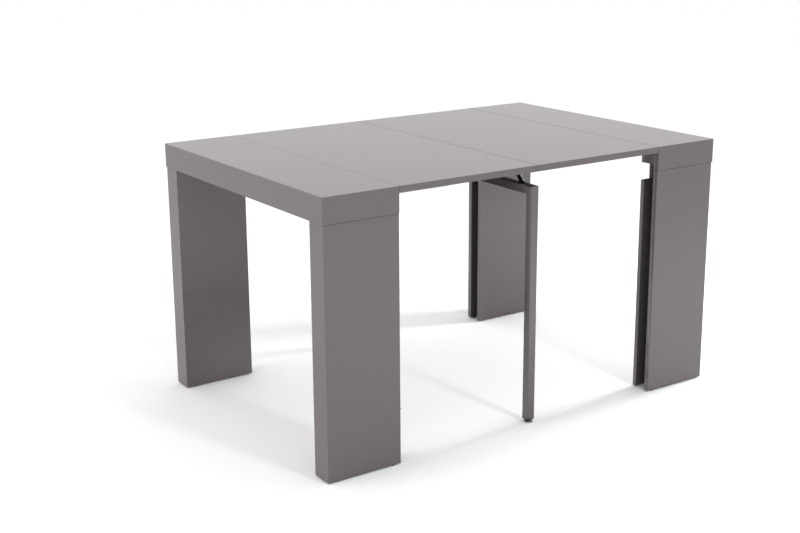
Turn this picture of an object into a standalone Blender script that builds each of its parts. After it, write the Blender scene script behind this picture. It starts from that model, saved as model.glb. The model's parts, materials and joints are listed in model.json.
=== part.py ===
"""Extendable console table, open, with two drop-in leaves.

Two end units, each a cap on a pair of channel legs, ride apart on telescopic slides. Two leaves fill
the opening between them, and a tube frame that hangs from the middle slides holds up the span.
With the leaves out and the ends pushed together, the frame parks inside the channels of the legs.

Units are metres. +X is the way the table extends, +Y points to its back and +Z is up. The origin is
on the floor, under the middle of the table as it stands with both leaves in.
"""

import math

import bmesh
import bpy
from mathutils import Matrix, Vector

# Overall sizes
HEIGHT = 0.750
TABLE_WIDTH = 0.900
END_LENGTH = 0.225
LEAF_LENGTH = 0.450
LEAF_COUNT = 2

# Fits
GAP = 0.0003
SEAM = 0.0008
SLIDE_CLEARANCE = 0.0004

# Caps and leaves
TOP_THICKNESS = 0.018
APRON_DEPTH = 0.070
APRON_THICKNESS = 0.018
EDGE_EASE = 0.0008
BATTEN_WIDTH = 0.018
BATTEN_HEIGHT = 0.016
BATTEN_INSET = 0.030
BATTEN_CLEARANCE = 0.003

# Channel legs
LEG_INSET = 0.002
OUTER_PANEL = 0.016
CHANNEL_WIDTH = 0.037
INNER_PANEL = 0.012
END_PANEL = 0.016
NOTCH_DEPTH = 0.033
NOTCH_ABOVE = 0.008
NOTCH_BELOW = 0.019
GLIDE_DIAMETER = 0.012
GLIDE_HEIGHT = 0.004
GLIDE_CHAMFER = 0.0008
GLIDE_SETBACK = 0.020

# Closing pins and their holes
PIN_DIAMETER = 0.005
PIN_HEIGHT = 0.151
PIN_SEAT = 0.012
PIN_PROUD = 0.008
PIN_CHAMFER = 0.001
PIN_HOLE_ROOM = 0.001

# Telescopic slides: bars side by side, each with a dovetail tongue in the next bar's groove
STAGE_COUNT = 5
RAIL_WIDTH = 0.0125
RAIL_HEIGHT = 0.0195
RAIL_LANE_GAP = 0.0005
RAIL_SIDE_GAP = 0.002
RAIL_END_GAP = 0.002
TONGUE_REACH = 0.004
TONGUE_ROOT = 0.005
TONGUE_TIP = 0.008

# Centre frame
FRAME_OFFSET = 0.010
FRAME_SIDE_GAP = 0.0035
TUBE = 0.025
TUBE_WALL = 0.0015
TUBE_RADIUS = 0.0025
TUBE_CORNER_STEPS = 3
HANGER_HEIGHT = 0.0245
HANGER_THICKNESS = 0.003
HANGER_WIDTH = 0.018
HANGER_LEAN = 0.032
HANGER_FLANGE = 0.014

# Levelling feet and their plugs
FOOT_DIAMETER = 0.026
FOOT_HEIGHT = 0.006
FOOT_CHAMFER = 0.001
STEM_DIAMETER = 0.008
STEM_SHOWING = 0.004
STEM_ENGAGED = 0.016
PLUG_FLANGE = 0.003
PLUG_LENGTH = 0.022

# Facets of round pieces and eased edges, and the distance under which points are one
ROUND_STEPS = 24
EASE_STEPS = 2
WELD = 0.000001

# How many times its piece a block or bore that cuts right through reaches
CUTTER_REACH = 4

# Places that follow from the sizes
HALF_WIDTH = TABLE_WIDTH / 2
HALF_SPAN = LEAF_COUNT * LEAF_LENGTH / 2
HALF_LENGTH = HALF_SPAN + END_LENGTH
UNDERSIDE = HEIGHT - TOP_THICKNESS
APRON_BOTTOM = HEIGHT - APRON_DEPTH
MOUTH = HALF_SPAN + SEAM / 2
LEG_FACE = HALF_WIDTH - LEG_INSET
LEG_END = HALF_LENGTH - LEG_INSET
CHANNEL_FACE = LEG_FACE - OUTER_PANEL
INNER_FACE = CHANNEL_FACE - CHANNEL_WIDTH
LEG_BACK = INNER_FACE - INNER_PANEL
INTERIOR_END = HALF_LENGTH - max(LEG_INSET + END_PANEL, APRON_THICKNESS)
MITRE_GAP = GAP / math.sqrt(2)

RAIL_TOP = UNDERSIDE - GAP
RAIL_BOTTOM = RAIL_TOP - RAIL_HEIGHT
RAIL_LENGTH = 2 * (INTERIOR_END - HALF_SPAN - RAIL_END_GAP)
RAIL_PITCH = (2 * (INTERIOR_END - RAIL_END_GAP) - RAIL_LENGTH) / (STAGE_COUNT - 1)
LANE_PITCH = RAIL_WIDTH + RAIL_LANE_GAP
RAIL_FACE = LEG_BACK - RAIL_SIDE_GAP
MIDDLE_STAGE = STAGE_COUNT // 2

HANGER_TOP = RAIL_BOTTOM - GAP
FRAME_TOP = HANGER_TOP - HANGER_HEIGHT - GAP
CROSSBAR_BOTTOM = FRAME_TOP - TUBE
NOTCH_TOP = FRAME_TOP + NOTCH_ABOVE
NOTCH_BOTTOM = CROSSBAR_BOTTOM - NOTCH_BELOW
FRAME_LEG = CHANNEL_FACE - FRAME_SIDE_GAP - TUBE / 2
TUBE_BORE = TUBE - 2 * TUBE_WALL
BORE_RADIUS = max(TUBE_RADIUS - TUBE_WALL, GAP)
PLUG_BOTTOM = FOOT_HEIGHT + STEM_SHOWING
TUBE_BOTTOM = PLUG_BOTTOM + PLUG_FLANGE + GAP

# Finishes: linear colour, roughness, metallic
FINISHES = {
    "taupe_lacquer": ((0.205, 0.187, 0.180), 0.10, 0.0),
    "shadow_paint": ((0.030, 0.028, 0.027), 0.50, 0.0),
    "batten_wood": ((0.420, 0.300, 0.190), 0.60, 0.0),
    "slide_aluminium": ((0.600, 0.600, 0.610), 0.35, 1.0),
    "frame_paint": ((0.180, 0.170, 0.163), 0.35, 0.0),
    "black_steel": ((0.012, 0.012, 0.013), 0.40, 0.0),
    "black_plastic": ((0.018, 0.018, 0.018), 0.55, 0.0),
    "bright_steel": ((0.550, 0.550, 0.560), 0.22, 1.0),
}

# Local frames of an extrusion: its outline's two axes, then the way it is drawn out
PLAN = ((1, 0, 0), (0, 1, 0), (0, 0, 1))
ALONG_X = ((0, 1, 0), (0, 0, 1), (1, 0, 0))
ALONG_Y = ((1, 0, 0), (0, 0, 1), (0, -1, 0))

ENDS = {"left": -1, "right": 1}
SIDES = {"front": -1, "back": 1}

for leftover in list(bpy.data.objects):
    bpy.data.objects.remove(leftover, do_unlink=True)

parts = bpy.data.collections.new("extendable_console_table")
cutters = bpy.data.collections.new("cutters")
bpy.context.scene.collection.children.link(parts)
bpy.context.scene.collection.children.link(cutters)


def finish_material(finish):
    """Return the Principled material of a finish, made on first use."""
    material = bpy.data.materials.get(finish)
    if material is None:
        colour, roughness, metallic = FINISHES[finish]
        material = bpy.data.materials.new(finish)
        material.use_nodes = True
        shader = material.node_tree.nodes["Principled BSDF"]
        shader.inputs["Base Color"].default_value = (*colour, 1.0)
        shader.inputs["Roughness"].default_value = roughness
        shader.inputs["Metallic"].default_value = metallic
    return material


def add_body(name, place):
    """Add the empty that carries the pieces of one moving body."""
    empty = bpy.data.objects.new(name, None)
    empty.location = place
    parts.objects.link(empty)
    return empty


def add_piece(name, mesh, finish, body, matrix):
    """Add a finished mesh as a named piece of a body, placed in the table's frame."""
    mesh.name = name
    mesh.materials.clear()
    mesh.materials.append(finish_material(finish))
    piece = bpy.data.objects.new(name, mesh)
    parts.objects.link(piece)
    piece.parent = body
    piece.matrix_parent_inverse = Matrix.Translation(-body.location)
    piece.matrix_basis = matrix
    return piece


def add_cutter(name, mesh, matrix):
    """Add a mesh that only cuts other pieces."""
    cutter = bpy.data.objects.new(name, mesh)
    cutter.matrix_basis = matrix
    cutter.hide_render = True
    cutter.display_type = "WIRE"
    cutters.objects.link(cutter)
    return cutter


def combine(piece, other, operation):
    """Cut another object out of a piece, or join it on."""
    boolean = piece.modifiers.new(other.name, "BOOLEAN")
    boolean.operation = operation
    boolean.solver = "EXACT"
    boolean.object = other


def box_mesh(name, size, eased=False):
    """Return a box centred on its origin, with the edges of its upper face marked where eased."""
    bm = bmesh.new()
    bmesh.ops.create_cube(bm, size=1.0)
    bmesh.ops.scale(bm, vec=size, verts=bm.verts)
    if eased:
        weight = bm.edges.layers.float.new("bevel_weight_edge")
        for edge in bm.edges:
            if all(vert.co.z > 0 for vert in edge.verts):
                edge[weight] = 1.0
    mesh = bpy.data.meshes.new(name)
    bm.to_mesh(mesh)
    bm.free()
    return mesh


def middle(low, high):
    """Return the transform to the middle of two corners."""
    return Matrix.Translation((Vector(low) + Vector(high)) / 2)


def board(name, low, high, finish, body, eased=False):
    """Add a square-cut board between two corners, eased along its upper edges where asked."""
    mesh = box_mesh(name, Vector(high) - Vector(low), eased)
    piece = add_piece(name, mesh, finish, body, middle(low, high))
    if eased:
        bevel = piece.modifiers.new("eased_edges", "BEVEL")
        bevel.limit_method = "WEIGHT"
        bevel.width = EDGE_EASE
        bevel.segments = EASE_STEPS
    return piece


def rod_mesh(name, diameter, length):
    """Return a plain cylinder along Z, centred on its origin."""
    bm = bmesh.new()
    bmesh.ops.create_cone(
        bm,
        cap_ends=True,
        segments=ROUND_STEPS,
        radius1=diameter / 2,
        radius2=diameter / 2,
        depth=length,
    )
    mesh = bpy.data.meshes.new(name)
    bm.to_mesh(mesh)
    bm.free()
    return mesh


def extruded_mesh(name, outlines, length):
    """Return a mesh drawn out of flat outlines, evenly to both sides of the XY plane.

    The first outline is the piece's edge and any others are holes in it.
    """
    curve = bpy.data.curves.new(name, "CURVE")
    curve.dimensions = "2D"
    curve.fill_mode = "BOTH"
    curve.extrude = length / 2
    for outline in outlines:
        spline = curve.splines.new("POLY")
        spline.points.add(len(outline) - 1)
        spline.use_cyclic_u = True
        for point, (u, v) in zip(spline.points, outline):
            point.co = (u, v, 0, 1)
    drawing = bpy.data.objects.new(name + "_drawing", curve)
    parts.objects.link(drawing)
    mesh = bpy.data.meshes.new_from_object(drawing.evaluated_get(bpy.context.evaluated_depsgraph_get()))
    bpy.data.objects.remove(drawing, do_unlink=True)
    close_mesh(mesh)
    return mesh


def close_mesh(mesh):
    """Weld the loose caps of an extruded outline and face it outwards."""
    bm = bmesh.new()
    bm.from_mesh(mesh)
    bmesh.ops.remove_doubles(bm, verts=bm.verts, dist=WELD)
    bmesh.ops.recalc_face_normals(bm, faces=bm.faces)
    bm.to_mesh(mesh)
    bm.free()


def extrusion(name, outlines, low, high, axes, finish, body, across=(0, 0, 0)):
    """Add a piece drawn out of flat outlines, from low to high along the last of its axes.

    The outlines are drawn on the first two axes, from the point across.
    """
    mesh = extruded_mesh(name, outlines, high - low)
    turn = Matrix(axes).transposed().to_4x4()
    centre = Vector(across) + Vector(axes[2]) * (low + high) / 2
    return add_piece(name, mesh, finish, body, Matrix.Translation(centre) @ turn)


def turned(name, profile, finish, body, matrix):
    """Add a piece turned about its own Z axis, from a profile that runs from its top to its bottom."""
    mesh = bpy.data.meshes.new(name)
    points = [(radius, 0, height) for radius, height in profile]
    mesh.from_pydata(points, [(i, i + 1) for i in range(len(points) - 1)], [])
    piece = add_piece(name, mesh, finish, body, matrix)
    screw = piece.modifiers.new("turning", "SCREW")
    screw.axis = "Z"
    screw.steps = ROUND_STEPS
    screw.render_steps = ROUND_STEPS
    screw.use_merge_vertices = True
    screw.merge_threshold = WELD
    screw.use_smooth_shade = True
    return piece


def mirrored(outline, end, side):
    """Move an outline drawn for the right back corner to any corner of the table."""
    return [(end * x, side * y) for x, y in outline]


def strip_outline(path, thickness):
    """Return the outline of a bent strip whose middle follows a path of points."""
    points = [Vector(point) for point in path]
    normals = []
    for start, end in zip(points, points[1:]):
        along = (end - start).normalized()
        normals.append(Vector((-along.y, along.x)))
    offsets = [normals[0]]
    for before, after in zip(normals, normals[1:]):
        offsets.append((before + after) / (1 + before.dot(after)))
    offsets.append(normals[-1])
    one_face = [point + offset * thickness / 2 for point, offset in zip(points, offsets)]
    other_face = [point - offset * thickness / 2 for point, offset in zip(points, offsets)]
    return [tuple(point) for point in one_face + other_face[::-1]]


def rounded_square(size, radius):
    """Return a square outline about the origin with rounded corners."""
    reach = size / 2 - radius
    outline = []
    for corner in range(4):
        for step in range(TUBE_CORNER_STEPS + 1):
            angle = math.pi / 2 * (corner + step / TUBE_CORNER_STEPS)
            middle_angle = math.pi / 2 * (corner + 0.5)
            centre_u = math.copysign(reach, math.cos(middle_angle))
            centre_v = math.copysign(reach, math.sin(middle_angle))
            outline.append((centre_u + radius * math.cos(angle), centre_v + radius * math.sin(angle)))
    return outline


def make_cap(end_name, body):
    """Make the cap of one end: its top and the three aprons mitred under it."""
    end = ENDS[end_name]
    x = sorted((end * MOUTH, end * HALF_LENGTH))
    low = (x[0], -HALF_WIDTH, UNDERSIDE)
    high = (x[1], HALF_WIDTH, HEIGHT)
    board(f"{end_name}_top_panel", low, high, "taupe_lacquer", body, eased=True)

    inner_x = HALF_LENGTH - APRON_THICKNESS
    inner_y = HALF_WIDTH - APRON_THICKNESS
    end_outline = [
        (end * HALF_LENGTH, -HALF_WIDTH + MITRE_GAP),
        (end * HALF_LENGTH, HALF_WIDTH - MITRE_GAP),
        (end * inner_x, inner_y - MITRE_GAP),
        (end * inner_x, -inner_y + MITRE_GAP),
    ]
    top = UNDERSIDE - GAP
    extrusion(f"{end_name}_end_apron", [end_outline], APRON_BOTTOM, top, PLAN, "taupe_lacquer", body)

    side_outline = [
        (MOUTH, HALF_WIDTH),
        (HALF_LENGTH - MITRE_GAP, HALF_WIDTH),
        (inner_x - MITRE_GAP, inner_y),
        (MOUTH, inner_y),
    ]
    for side_name, side in SIDES.items():
        outline = mirrored(side_outline, end, side)
        name = f"{end_name}_{side_name}_apron"
        extrusion(name, [outline], APRON_BOTTOM, top, PLAN, "taupe_lacquer", body)


def make_leg_shell(leg, end, side, body):
    """Make a leg's outer and end panels, mitred at their corner, and return the outer one."""
    top = APRON_BOTTOM - GAP
    panel_end = LEG_END - END_PANEL
    end_outline = [
        (LEG_END, LEG_BACK),
        (LEG_END, LEG_FACE - MITRE_GAP),
        (panel_end, CHANNEL_FACE - MITRE_GAP),
        (panel_end, LEG_BACK),
    ]
    outline = mirrored(end_outline, end, side)
    extrusion(f"{leg}_end_panel", [outline], GLIDE_HEIGHT, top, PLAN, "taupe_lacquer", body)
    outer_outline = [
        (MOUTH, LEG_FACE),
        (LEG_END - MITRE_GAP, LEG_FACE),
        (panel_end - MITRE_GAP, CHANNEL_FACE),
        (MOUTH, CHANNEL_FACE),
    ]
    outline = mirrored(outer_outline, end, side)
    return extrusion(f"{leg}_outer_panel", [outline], GLIDE_HEIGHT, top, PLAN, "taupe_lacquer", body)


def make_leg_core(leg, end, side, body):
    """Make a leg's inner panel, notched for the frame's crossbar, and the block at its head."""
    inner_end = INTERIOR_END - GAP
    notch_end = MOUTH + NOTCH_DEPTH
    inner_outline = [
        (MOUTH, GLIDE_HEIGHT),
        (inner_end, GLIDE_HEIGHT),
        (inner_end, UNDERSIDE - GAP),
        (MOUTH, UNDERSIDE - GAP),
        (MOUTH, NOTCH_TOP),
        (notch_end, NOTCH_TOP),
        (notch_end, NOTCH_BOTTOM),
        (MOUTH, NOTCH_BOTTOM),
    ]
    outline = mirrored(inner_outline, end, 1)
    faces = sorted((-side * LEG_BACK, -side * INNER_FACE))
    extrusion(f"{leg}_inner_panel", [outline], *faces, ALONG_Y, "taupe_lacquer", body)

    block_x = sorted((end * MOUTH, end * (HALF_LENGTH - APRON_THICKNESS - GAP)))
    block_y = sorted((side * (INNER_FACE + GAP), side * (HALF_WIDTH - APRON_THICKNESS - GAP)))
    low = (block_x[0], block_y[0], NOTCH_TOP)
    high = (block_x[1], block_y[1], UNDERSIDE - GAP)
    board(f"{leg}_head_block", low, high, "shadow_paint", body)


def make_glides(leg, end, side, body):
    """Make the two round glides that a leg stands on."""
    glide_places = {
        "mouth": (MOUTH + GLIDE_SETBACK, LEG_FACE - OUTER_PANEL / 2),
        "end": (LEG_END - END_PANEL / 2, (LEG_FACE + LEG_BACK) / 2),
    }
    glide_top = GLIDE_HEIGHT - GAP
    radius = GLIDE_DIAMETER / 2
    profile = [
        (0, glide_top),
        (radius, glide_top),
        (radius, GLIDE_CHAMFER),
        (radius - GLIDE_CHAMFER, 0),
        (0, 0),
    ]
    for place, (x, y) in glide_places.items():
        matrix = Matrix.Translation((end * x, side * y, 0))
        turned(f"{leg}_{place}_glide", profile, "black_plastic", body, matrix)


def make_closing_pin(side_name, panels, body):
    """Make a pin in the left leg's open edge, and the holes for it in both facing edges."""
    side = SIDES[side_name]
    y = side * (LEG_FACE - OUTER_PANEL / 2)
    along_x = Matrix.Rotation(math.pi / 2, 4, "Y")
    radius = PIN_DIAMETER / 2

    seat = Matrix.Translation((-MOUTH, y, PIN_HEIGHT)) @ along_x
    profile = [
        (0, PIN_PROUD),
        (radius - PIN_CHAMFER, PIN_PROUD),
        (radius, PIN_PROUD - PIN_CHAMFER),
        (radius, -PIN_SEAT),
        (0, -PIN_SEAT),
    ]
    turned(f"left_{side_name}_closing_pin", profile, "bright_steel", body, seat)

    depths = {"left": PIN_SEAT + GAP, "right": PIN_PROUD + PIN_HOLE_ROOM}
    for end_name, depth in depths.items():
        name = f"{end_name}_{side_name}_pin_hole"
        bore = rod_mesh(name, PIN_DIAMETER + 2 * GAP, 2 * depth)
        place = Matrix.Translation((ENDS[end_name] * MOUTH, y, PIN_HEIGHT)) @ along_x
        combine(panels[end_name, side_name], add_cutter(name, bore, place), "DIFFERENCE")


def rail_section(stage):
    """Return a slide bar's section, drawn inwards from its outer face and up from its middle."""
    half = RAIL_HEIGHT / 2
    root = TONGUE_ROOT / 2
    tip = TONGUE_TIP / 2
    section = [(0, -half), (RAIL_WIDTH, -half)]
    if stage < STAGE_COUNT - 1:
        reach = RAIL_WIDTH + TONGUE_REACH
        section += [(RAIL_WIDTH, -root), (reach, -tip), (reach, tip), (RAIL_WIDTH, root)]
    section += [(RAIL_WIDTH, half), (0, half)]
    if stage > 0:
        slope = (tip - root) / TONGUE_REACH
        depth = TONGUE_REACH - RAIL_LANE_GAP + SLIDE_CLEARANCE
        mouth = root + slope * RAIL_LANE_GAP + SLIDE_CLEARANCE
        floor = mouth + slope * depth
        section += [(0, mouth), (depth, floor), (depth, -floor), (0, -mouth)]
    return section


def rail_lane(stage):
    """Return how far a stage's outer face lies from the table's middle line."""
    return RAIL_FACE - stage * LANE_PITCH


def make_rail(side_name, stage, body):
    """Make one bar of the front or back slide."""
    side = SIDES[side_name]
    start = RAIL_END_GAP - INTERIOR_END + stage * RAIL_PITCH
    lane = rail_lane(stage)
    height = (RAIL_TOP + RAIL_BOTTOM) / 2
    outline = [(side * (lane - u), height + v) for u, v in rail_section(stage)]
    name = f"{side_name}_slide_stage_{stage + 1}"
    extrusion(name, [outline], start, start + RAIL_LENGTH, ALONG_X, "slide_aluminium", body)


def make_leaf(number, body):
    """Make one leaf and the two battens that keep it between the slides."""
    start = -HALF_SPAN + (number - 1) * LEAF_LENGTH
    low = (start + SEAM / 2, -HALF_WIDTH, UNDERSIDE)
    high = (start + LEAF_LENGTH - SEAM / 2, HALF_WIDTH, HEIGHT)
    board(f"leaf_{number}_panel", low, high, "taupe_lacquer", body, eased=True)

    outer_face = rail_lane(STAGE_COUNT - 1) - RAIL_WIDTH - BATTEN_CLEARANCE
    top = UNDERSIDE - GAP
    for side_name, side in SIDES.items():
        y = sorted((side * outer_face, side * (outer_face - BATTEN_WIDTH)))
        low = (start + BATTEN_INSET, y[0], top - BATTEN_HEIGHT)
        high = (start + LEAF_LENGTH - BATTEN_INSET, y[1], top)
        board(f"leaf_{number}_{side_name}_batten", low, high, "batten_wood", body)


def tube_section():
    """Return the outer and inner outlines of the frame's square tube."""
    outer = rounded_square(TUBE, TUBE_RADIUS)
    inner = rounded_square(TUBE_BORE, BORE_RADIUS)
    return [outer, inner]


def mitre_cutter(side_name, keeps):
    """Return a block whose face is the mitre of the front or back corner of the frame.

    The block takes away what lies past the mitre from the piece that is kept, leg or crossbar.
    """
    side = SIDES[side_name]
    size = CUTTER_REACH * TUBE
    inwards = Vector((0, -side, 1)).normalized()
    towards = inwards if keeps == "leg" else -inwards
    corner = Vector((FRAME_OFFSET, side * FRAME_LEG, FRAME_TOP - TUBE / 2))
    centre = corner + towards * (size - GAP) / 2
    matrix = Matrix.Translation(centre) @ Matrix.Rotation(math.pi / 4, 4, "X")
    name = f"{side_name}_{keeps}_mitre"
    return add_cutter(name, box_mesh(name, (size, size, size)), matrix)


def make_frame_leg(side_name, body):
    """Make a tube leg of the centre frame."""
    place = (FRAME_OFFSET, SIDES[side_name] * FRAME_LEG, 0)
    name = f"frame_{side_name}_leg"
    leg = extrusion(name, tube_section(), TUBE_BOTTOM, FRAME_TOP, PLAN, "frame_paint", body, place)
    combine(leg, mitre_cutter(side_name, "leg"), "DIFFERENCE")


def make_plug(side_name, body):
    """Make the plug in a tube leg's end, bored for the stem of its foot."""
    y = SIDES[side_name] * FRAME_LEG
    half = TUBE / 2
    flange_top = PLUG_BOTTOM + PLUG_FLANGE
    low = (FRAME_OFFSET - half, y - half, PLUG_BOTTOM)
    high = (FRAME_OFFSET + half, y + half, flange_top)
    plug = board(f"frame_{side_name}_plug", low, high, "black_plastic", body)
    name = f"{side_name}_plug_insert"
    mesh = extruded_mesh(name, [rounded_square(TUBE_BORE - 2 * GAP, BORE_RADIUS)], PLUG_LENGTH)
    height = flange_top - PLUG_FLANGE / 2 + PLUG_LENGTH / 2
    combine(plug, add_cutter(name, mesh, Matrix.Translation((FRAME_OFFSET, y, height))), "UNION")
    name = f"{side_name}_stem_bore"
    bore = rod_mesh(name, STEM_DIAMETER + 2 * GAP, CUTTER_REACH * (PLUG_LENGTH + PLUG_FLANGE))
    combine(plug, add_cutter(name, bore, Matrix.Translation((FRAME_OFFSET, y, PLUG_BOTTOM))), "DIFFERENCE")


def make_hanger(side_name, body):
    """Make the bent strip that hangs the crossbar from the middle stage of a slide."""
    side = SIDES[side_name]
    lane = rail_lane(MIDDLE_STAGE) - RAIL_WIDTH
    top = HANGER_TOP - HANGER_THICKNESS / 2
    foot = HANGER_TOP - HANGER_HEIGHT + HANGER_THICKNESS / 2
    path = [
        (lane + HANGER_LEAN - HANGER_FLANGE, foot),
        (lane + HANGER_LEAN, foot),
        (lane + RAIL_WIDTH, top),
        (lane, top),
    ]
    outline = [(side * u, v) for u, v in strip_outline(path, HANGER_THICKNESS)]
    ends = (FRAME_OFFSET - HANGER_WIDTH / 2, FRAME_OFFSET + HANGER_WIDTH / 2)
    extrusion(f"frame_{side_name}_hanger", [outline], *ends, ALONG_X, "black_steel", body)


def make_crossbar(body):
    """Make the bar that joins the two tube legs of the centre frame."""
    reach = FRAME_LEG + TUBE / 2
    place = (FRAME_OFFSET, 0, FRAME_TOP - TUBE / 2)
    bar = extrusion("frame_crossbar", tube_section(), -reach, reach, ALONG_Y, "frame_paint", body, place)
    for side_name in SIDES:
        combine(bar, mitre_cutter(side_name, "crossbar"), "DIFFERENCE")


def make_foot(side_name):
    """Make a levelling foot, which turns on its stem in the plug of the tube leg."""
    radius = FOOT_DIAMETER / 2
    stem = STEM_DIAMETER / 2
    stem_top = PLUG_BOTTOM + STEM_ENGAGED
    profile = [
        (0, stem_top),
        (stem, stem_top),
        (stem, FOOT_HEIGHT),
        (radius - FOOT_CHAMFER, FOOT_HEIGHT),
        (radius, FOOT_HEIGHT - FOOT_CHAMFER),
        (radius, 0),
        (0, 0),
    ]
    axis = Vector((FRAME_OFFSET, SIDES[side_name] * FRAME_LEG, 0))
    body = add_body(f"{side_name}_foot_axis", axis)
    turned(f"{side_name}_foot", profile, "bright_steel", body, Matrix.Translation(axis))


def main():
    """Make every piece of the table."""
    ends = {}
    panels = {}
    for end_name, end in ENDS.items():
        ends[end_name] = add_body(f"{end_name}_end", (end * MOUTH, 0, 0))
        make_cap(end_name, ends[end_name])
        for side_name in SIDES:
            leg = f"{end_name}_{side_name}_leg"
            panels[end_name, side_name] = make_leg_shell(leg, end, SIDES[side_name], ends[end_name])
            make_leg_core(leg, end, SIDES[side_name], ends[end_name])
            make_glides(leg, end, SIDES[side_name], ends[end_name])
    for side_name in SIDES:
        make_closing_pin(side_name, panels, ends["left"])

    frame = add_body("centre_frame", (FRAME_OFFSET, 0, 0))
    for stage in range(STAGE_COUNT):
        if stage == 0:
            carrier = ends["left"]
        elif stage == STAGE_COUNT - 1:
            carrier = ends["right"]
        elif stage == MIDDLE_STAGE:
            carrier = frame
        else:
            carrier = add_body(f"slide_stage_{stage + 1}", (0, 0, RAIL_BOTTOM))
        for side_name in SIDES:
            make_rail(side_name, stage, carrier)

    make_crossbar(frame)
    for side_name in SIDES:
        make_frame_leg(side_name, frame)
        make_plug(side_name, frame)
        make_hanger(side_name, frame)
        make_foot(side_name)
    for number in range(1, LEAF_COUNT + 1):
        make_leaf(number, add_body(f"leaf_{number}", (0, 0, UNDERSIDE)))


main()
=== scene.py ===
"""The look of the extendable console table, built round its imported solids.

The lacquered boards of each end are drawn as closed skins with rounded edges, the slides, frame and
fittings get their drawn, bent, turned and threaded shapes, and Geometry Nodes set what repeats. A
pale studio and a camera at the photograph's place stand round the table.

Units are metres. +X is the way the table extends, +Y points to its back and +Z is up.
"""

import itertools
import json
import logging
import math
from collections.abc import Callable, Iterable, Mapping, Sequence
from dataclasses import dataclass, field, fields
from enum import Enum

import bmesh
import bpy
from mathutils import Matrix, Vector

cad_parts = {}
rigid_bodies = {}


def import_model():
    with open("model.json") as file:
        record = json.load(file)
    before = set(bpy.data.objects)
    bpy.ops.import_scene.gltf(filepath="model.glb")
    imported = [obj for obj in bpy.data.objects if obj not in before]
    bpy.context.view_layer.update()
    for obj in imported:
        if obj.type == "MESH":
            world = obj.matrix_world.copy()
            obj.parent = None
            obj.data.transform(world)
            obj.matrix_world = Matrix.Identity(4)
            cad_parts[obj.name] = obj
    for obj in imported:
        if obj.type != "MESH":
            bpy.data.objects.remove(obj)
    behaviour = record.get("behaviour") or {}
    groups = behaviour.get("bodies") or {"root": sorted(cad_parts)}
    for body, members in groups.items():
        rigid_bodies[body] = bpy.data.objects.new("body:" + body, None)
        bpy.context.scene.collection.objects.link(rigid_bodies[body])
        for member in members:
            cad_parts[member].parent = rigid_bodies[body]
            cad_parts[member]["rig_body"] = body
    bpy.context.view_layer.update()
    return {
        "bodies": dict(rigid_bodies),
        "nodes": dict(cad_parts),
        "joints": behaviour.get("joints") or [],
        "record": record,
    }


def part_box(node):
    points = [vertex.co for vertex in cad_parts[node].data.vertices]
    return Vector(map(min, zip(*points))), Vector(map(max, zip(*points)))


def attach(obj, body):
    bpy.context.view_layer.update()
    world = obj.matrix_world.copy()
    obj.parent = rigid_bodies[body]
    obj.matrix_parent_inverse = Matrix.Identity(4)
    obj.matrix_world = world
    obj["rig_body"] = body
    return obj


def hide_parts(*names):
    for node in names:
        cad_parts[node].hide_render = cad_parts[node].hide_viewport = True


LOG = logging.getLogger("console_table")

Pair = tuple[float, float]
Triple = tuple[float, float, float]
Cell = tuple[int, ...]
Piece = bpy.types.Object
Socket = bpy.types.NodeSocket
Sizes = Mapping[str, Socket]
FaceTest = Callable[[bpy.types.MeshPolygon], bool]

AXES = range(3)
X, Y, Z = AXES
WELD = 0.000001
TOUCH = 0.00001
MICRON_DIGITS = 6
SHARP_ANGLE = math.radians(32)
FLAT_ANGLE = SHARP_ANGLE / 10
SQUARE_ON = math.cos(SHARP_ANGLE)
ROUND_STEPS = 48
BEND_STEPS = 6
FINE_EDGE = 0.0004
WHITE = (1.0, 1.0, 1.0)
NOISE_RANGE = (0.3, 0.7)


class Place(Enum):
    """A named place on the table, with its sign along an axis as its value."""

    @property
    def label(self) -> str:
        """Return the place's name as the frame's nodes spell it."""
        return self.name.lower()


class End(Place):
    """The two end units, by their place along X."""

    LEFT = -1
    RIGHT = 1


class Side(Place):
    """The table's two long sides, by their place along Y."""

    FRONT = -1
    BACK = 1


class Facing(Enum):
    """The way a fitting's head looks, as the turn from straight up."""

    UP = (0.0, 0.0, 0.0)
    DOWN = (math.pi, 0.0, 0.0)


class NodeSheet:
    """A node tree, with short calls that add nodes and join their sockets."""

    def __init__(self, tree: bpy.types.NodeTree) -> None:
        """Take the tree to fill."""
        self.tree = tree

    def add(
        self, kind: str, inputs: dict[str, object] | None = None, **settings: object
    ) -> bpy.types.Node:
        """Add a node.

        Args:
            kind: The node's Blender type.
            inputs: Values for its inputs by name, or sockets to join to them.
            **settings: The node's own properties.

        Returns:
            The new node.
        """
        node = self.tree.nodes.new(kind)
        for name, value in settings.items():
            setattr(node, name, value)
        for name, value in (inputs or {}).items():
            self.feed(node.inputs[name], value)
        return node

    def output(
        self, kind: str, name: str, inputs: dict[str, object] | None = None, **settings: object
    ) -> Socket:
        """Add a node and return its output of a name."""
        return self.add(kind, inputs, **settings).outputs[name]

    def feed(self, socket: Socket, value: object) -> None:
        """Fill an input.

        Args:
            socket: The input.
            value: Another socket to join it to, or the value to set it to.
        """
        if isinstance(value, Socket):
            self.tree.links.new(value, socket)
        else:
            socket.default_value = value

    def calc(self, operation: str, *numbers: object) -> Socket:
        """Reckon with two numbers.

        Args:
            operation: The name of the sum.
            *numbers: The two numbers, or sockets that give them.

        Returns:
            The socket of the result.
        """
        node = self.add("ShaderNodeMath", operation=operation)
        for socket, number in zip(node.inputs, numbers):
            self.feed(socket, number)
        return node.outputs["Value"]

    def vector(self, **parts: object) -> Socket:
        """Return a vector made of X, Y and Z numbers or sockets."""
        return self.output("ShaderNodeCombineXYZ", "Vector", parts)


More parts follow.
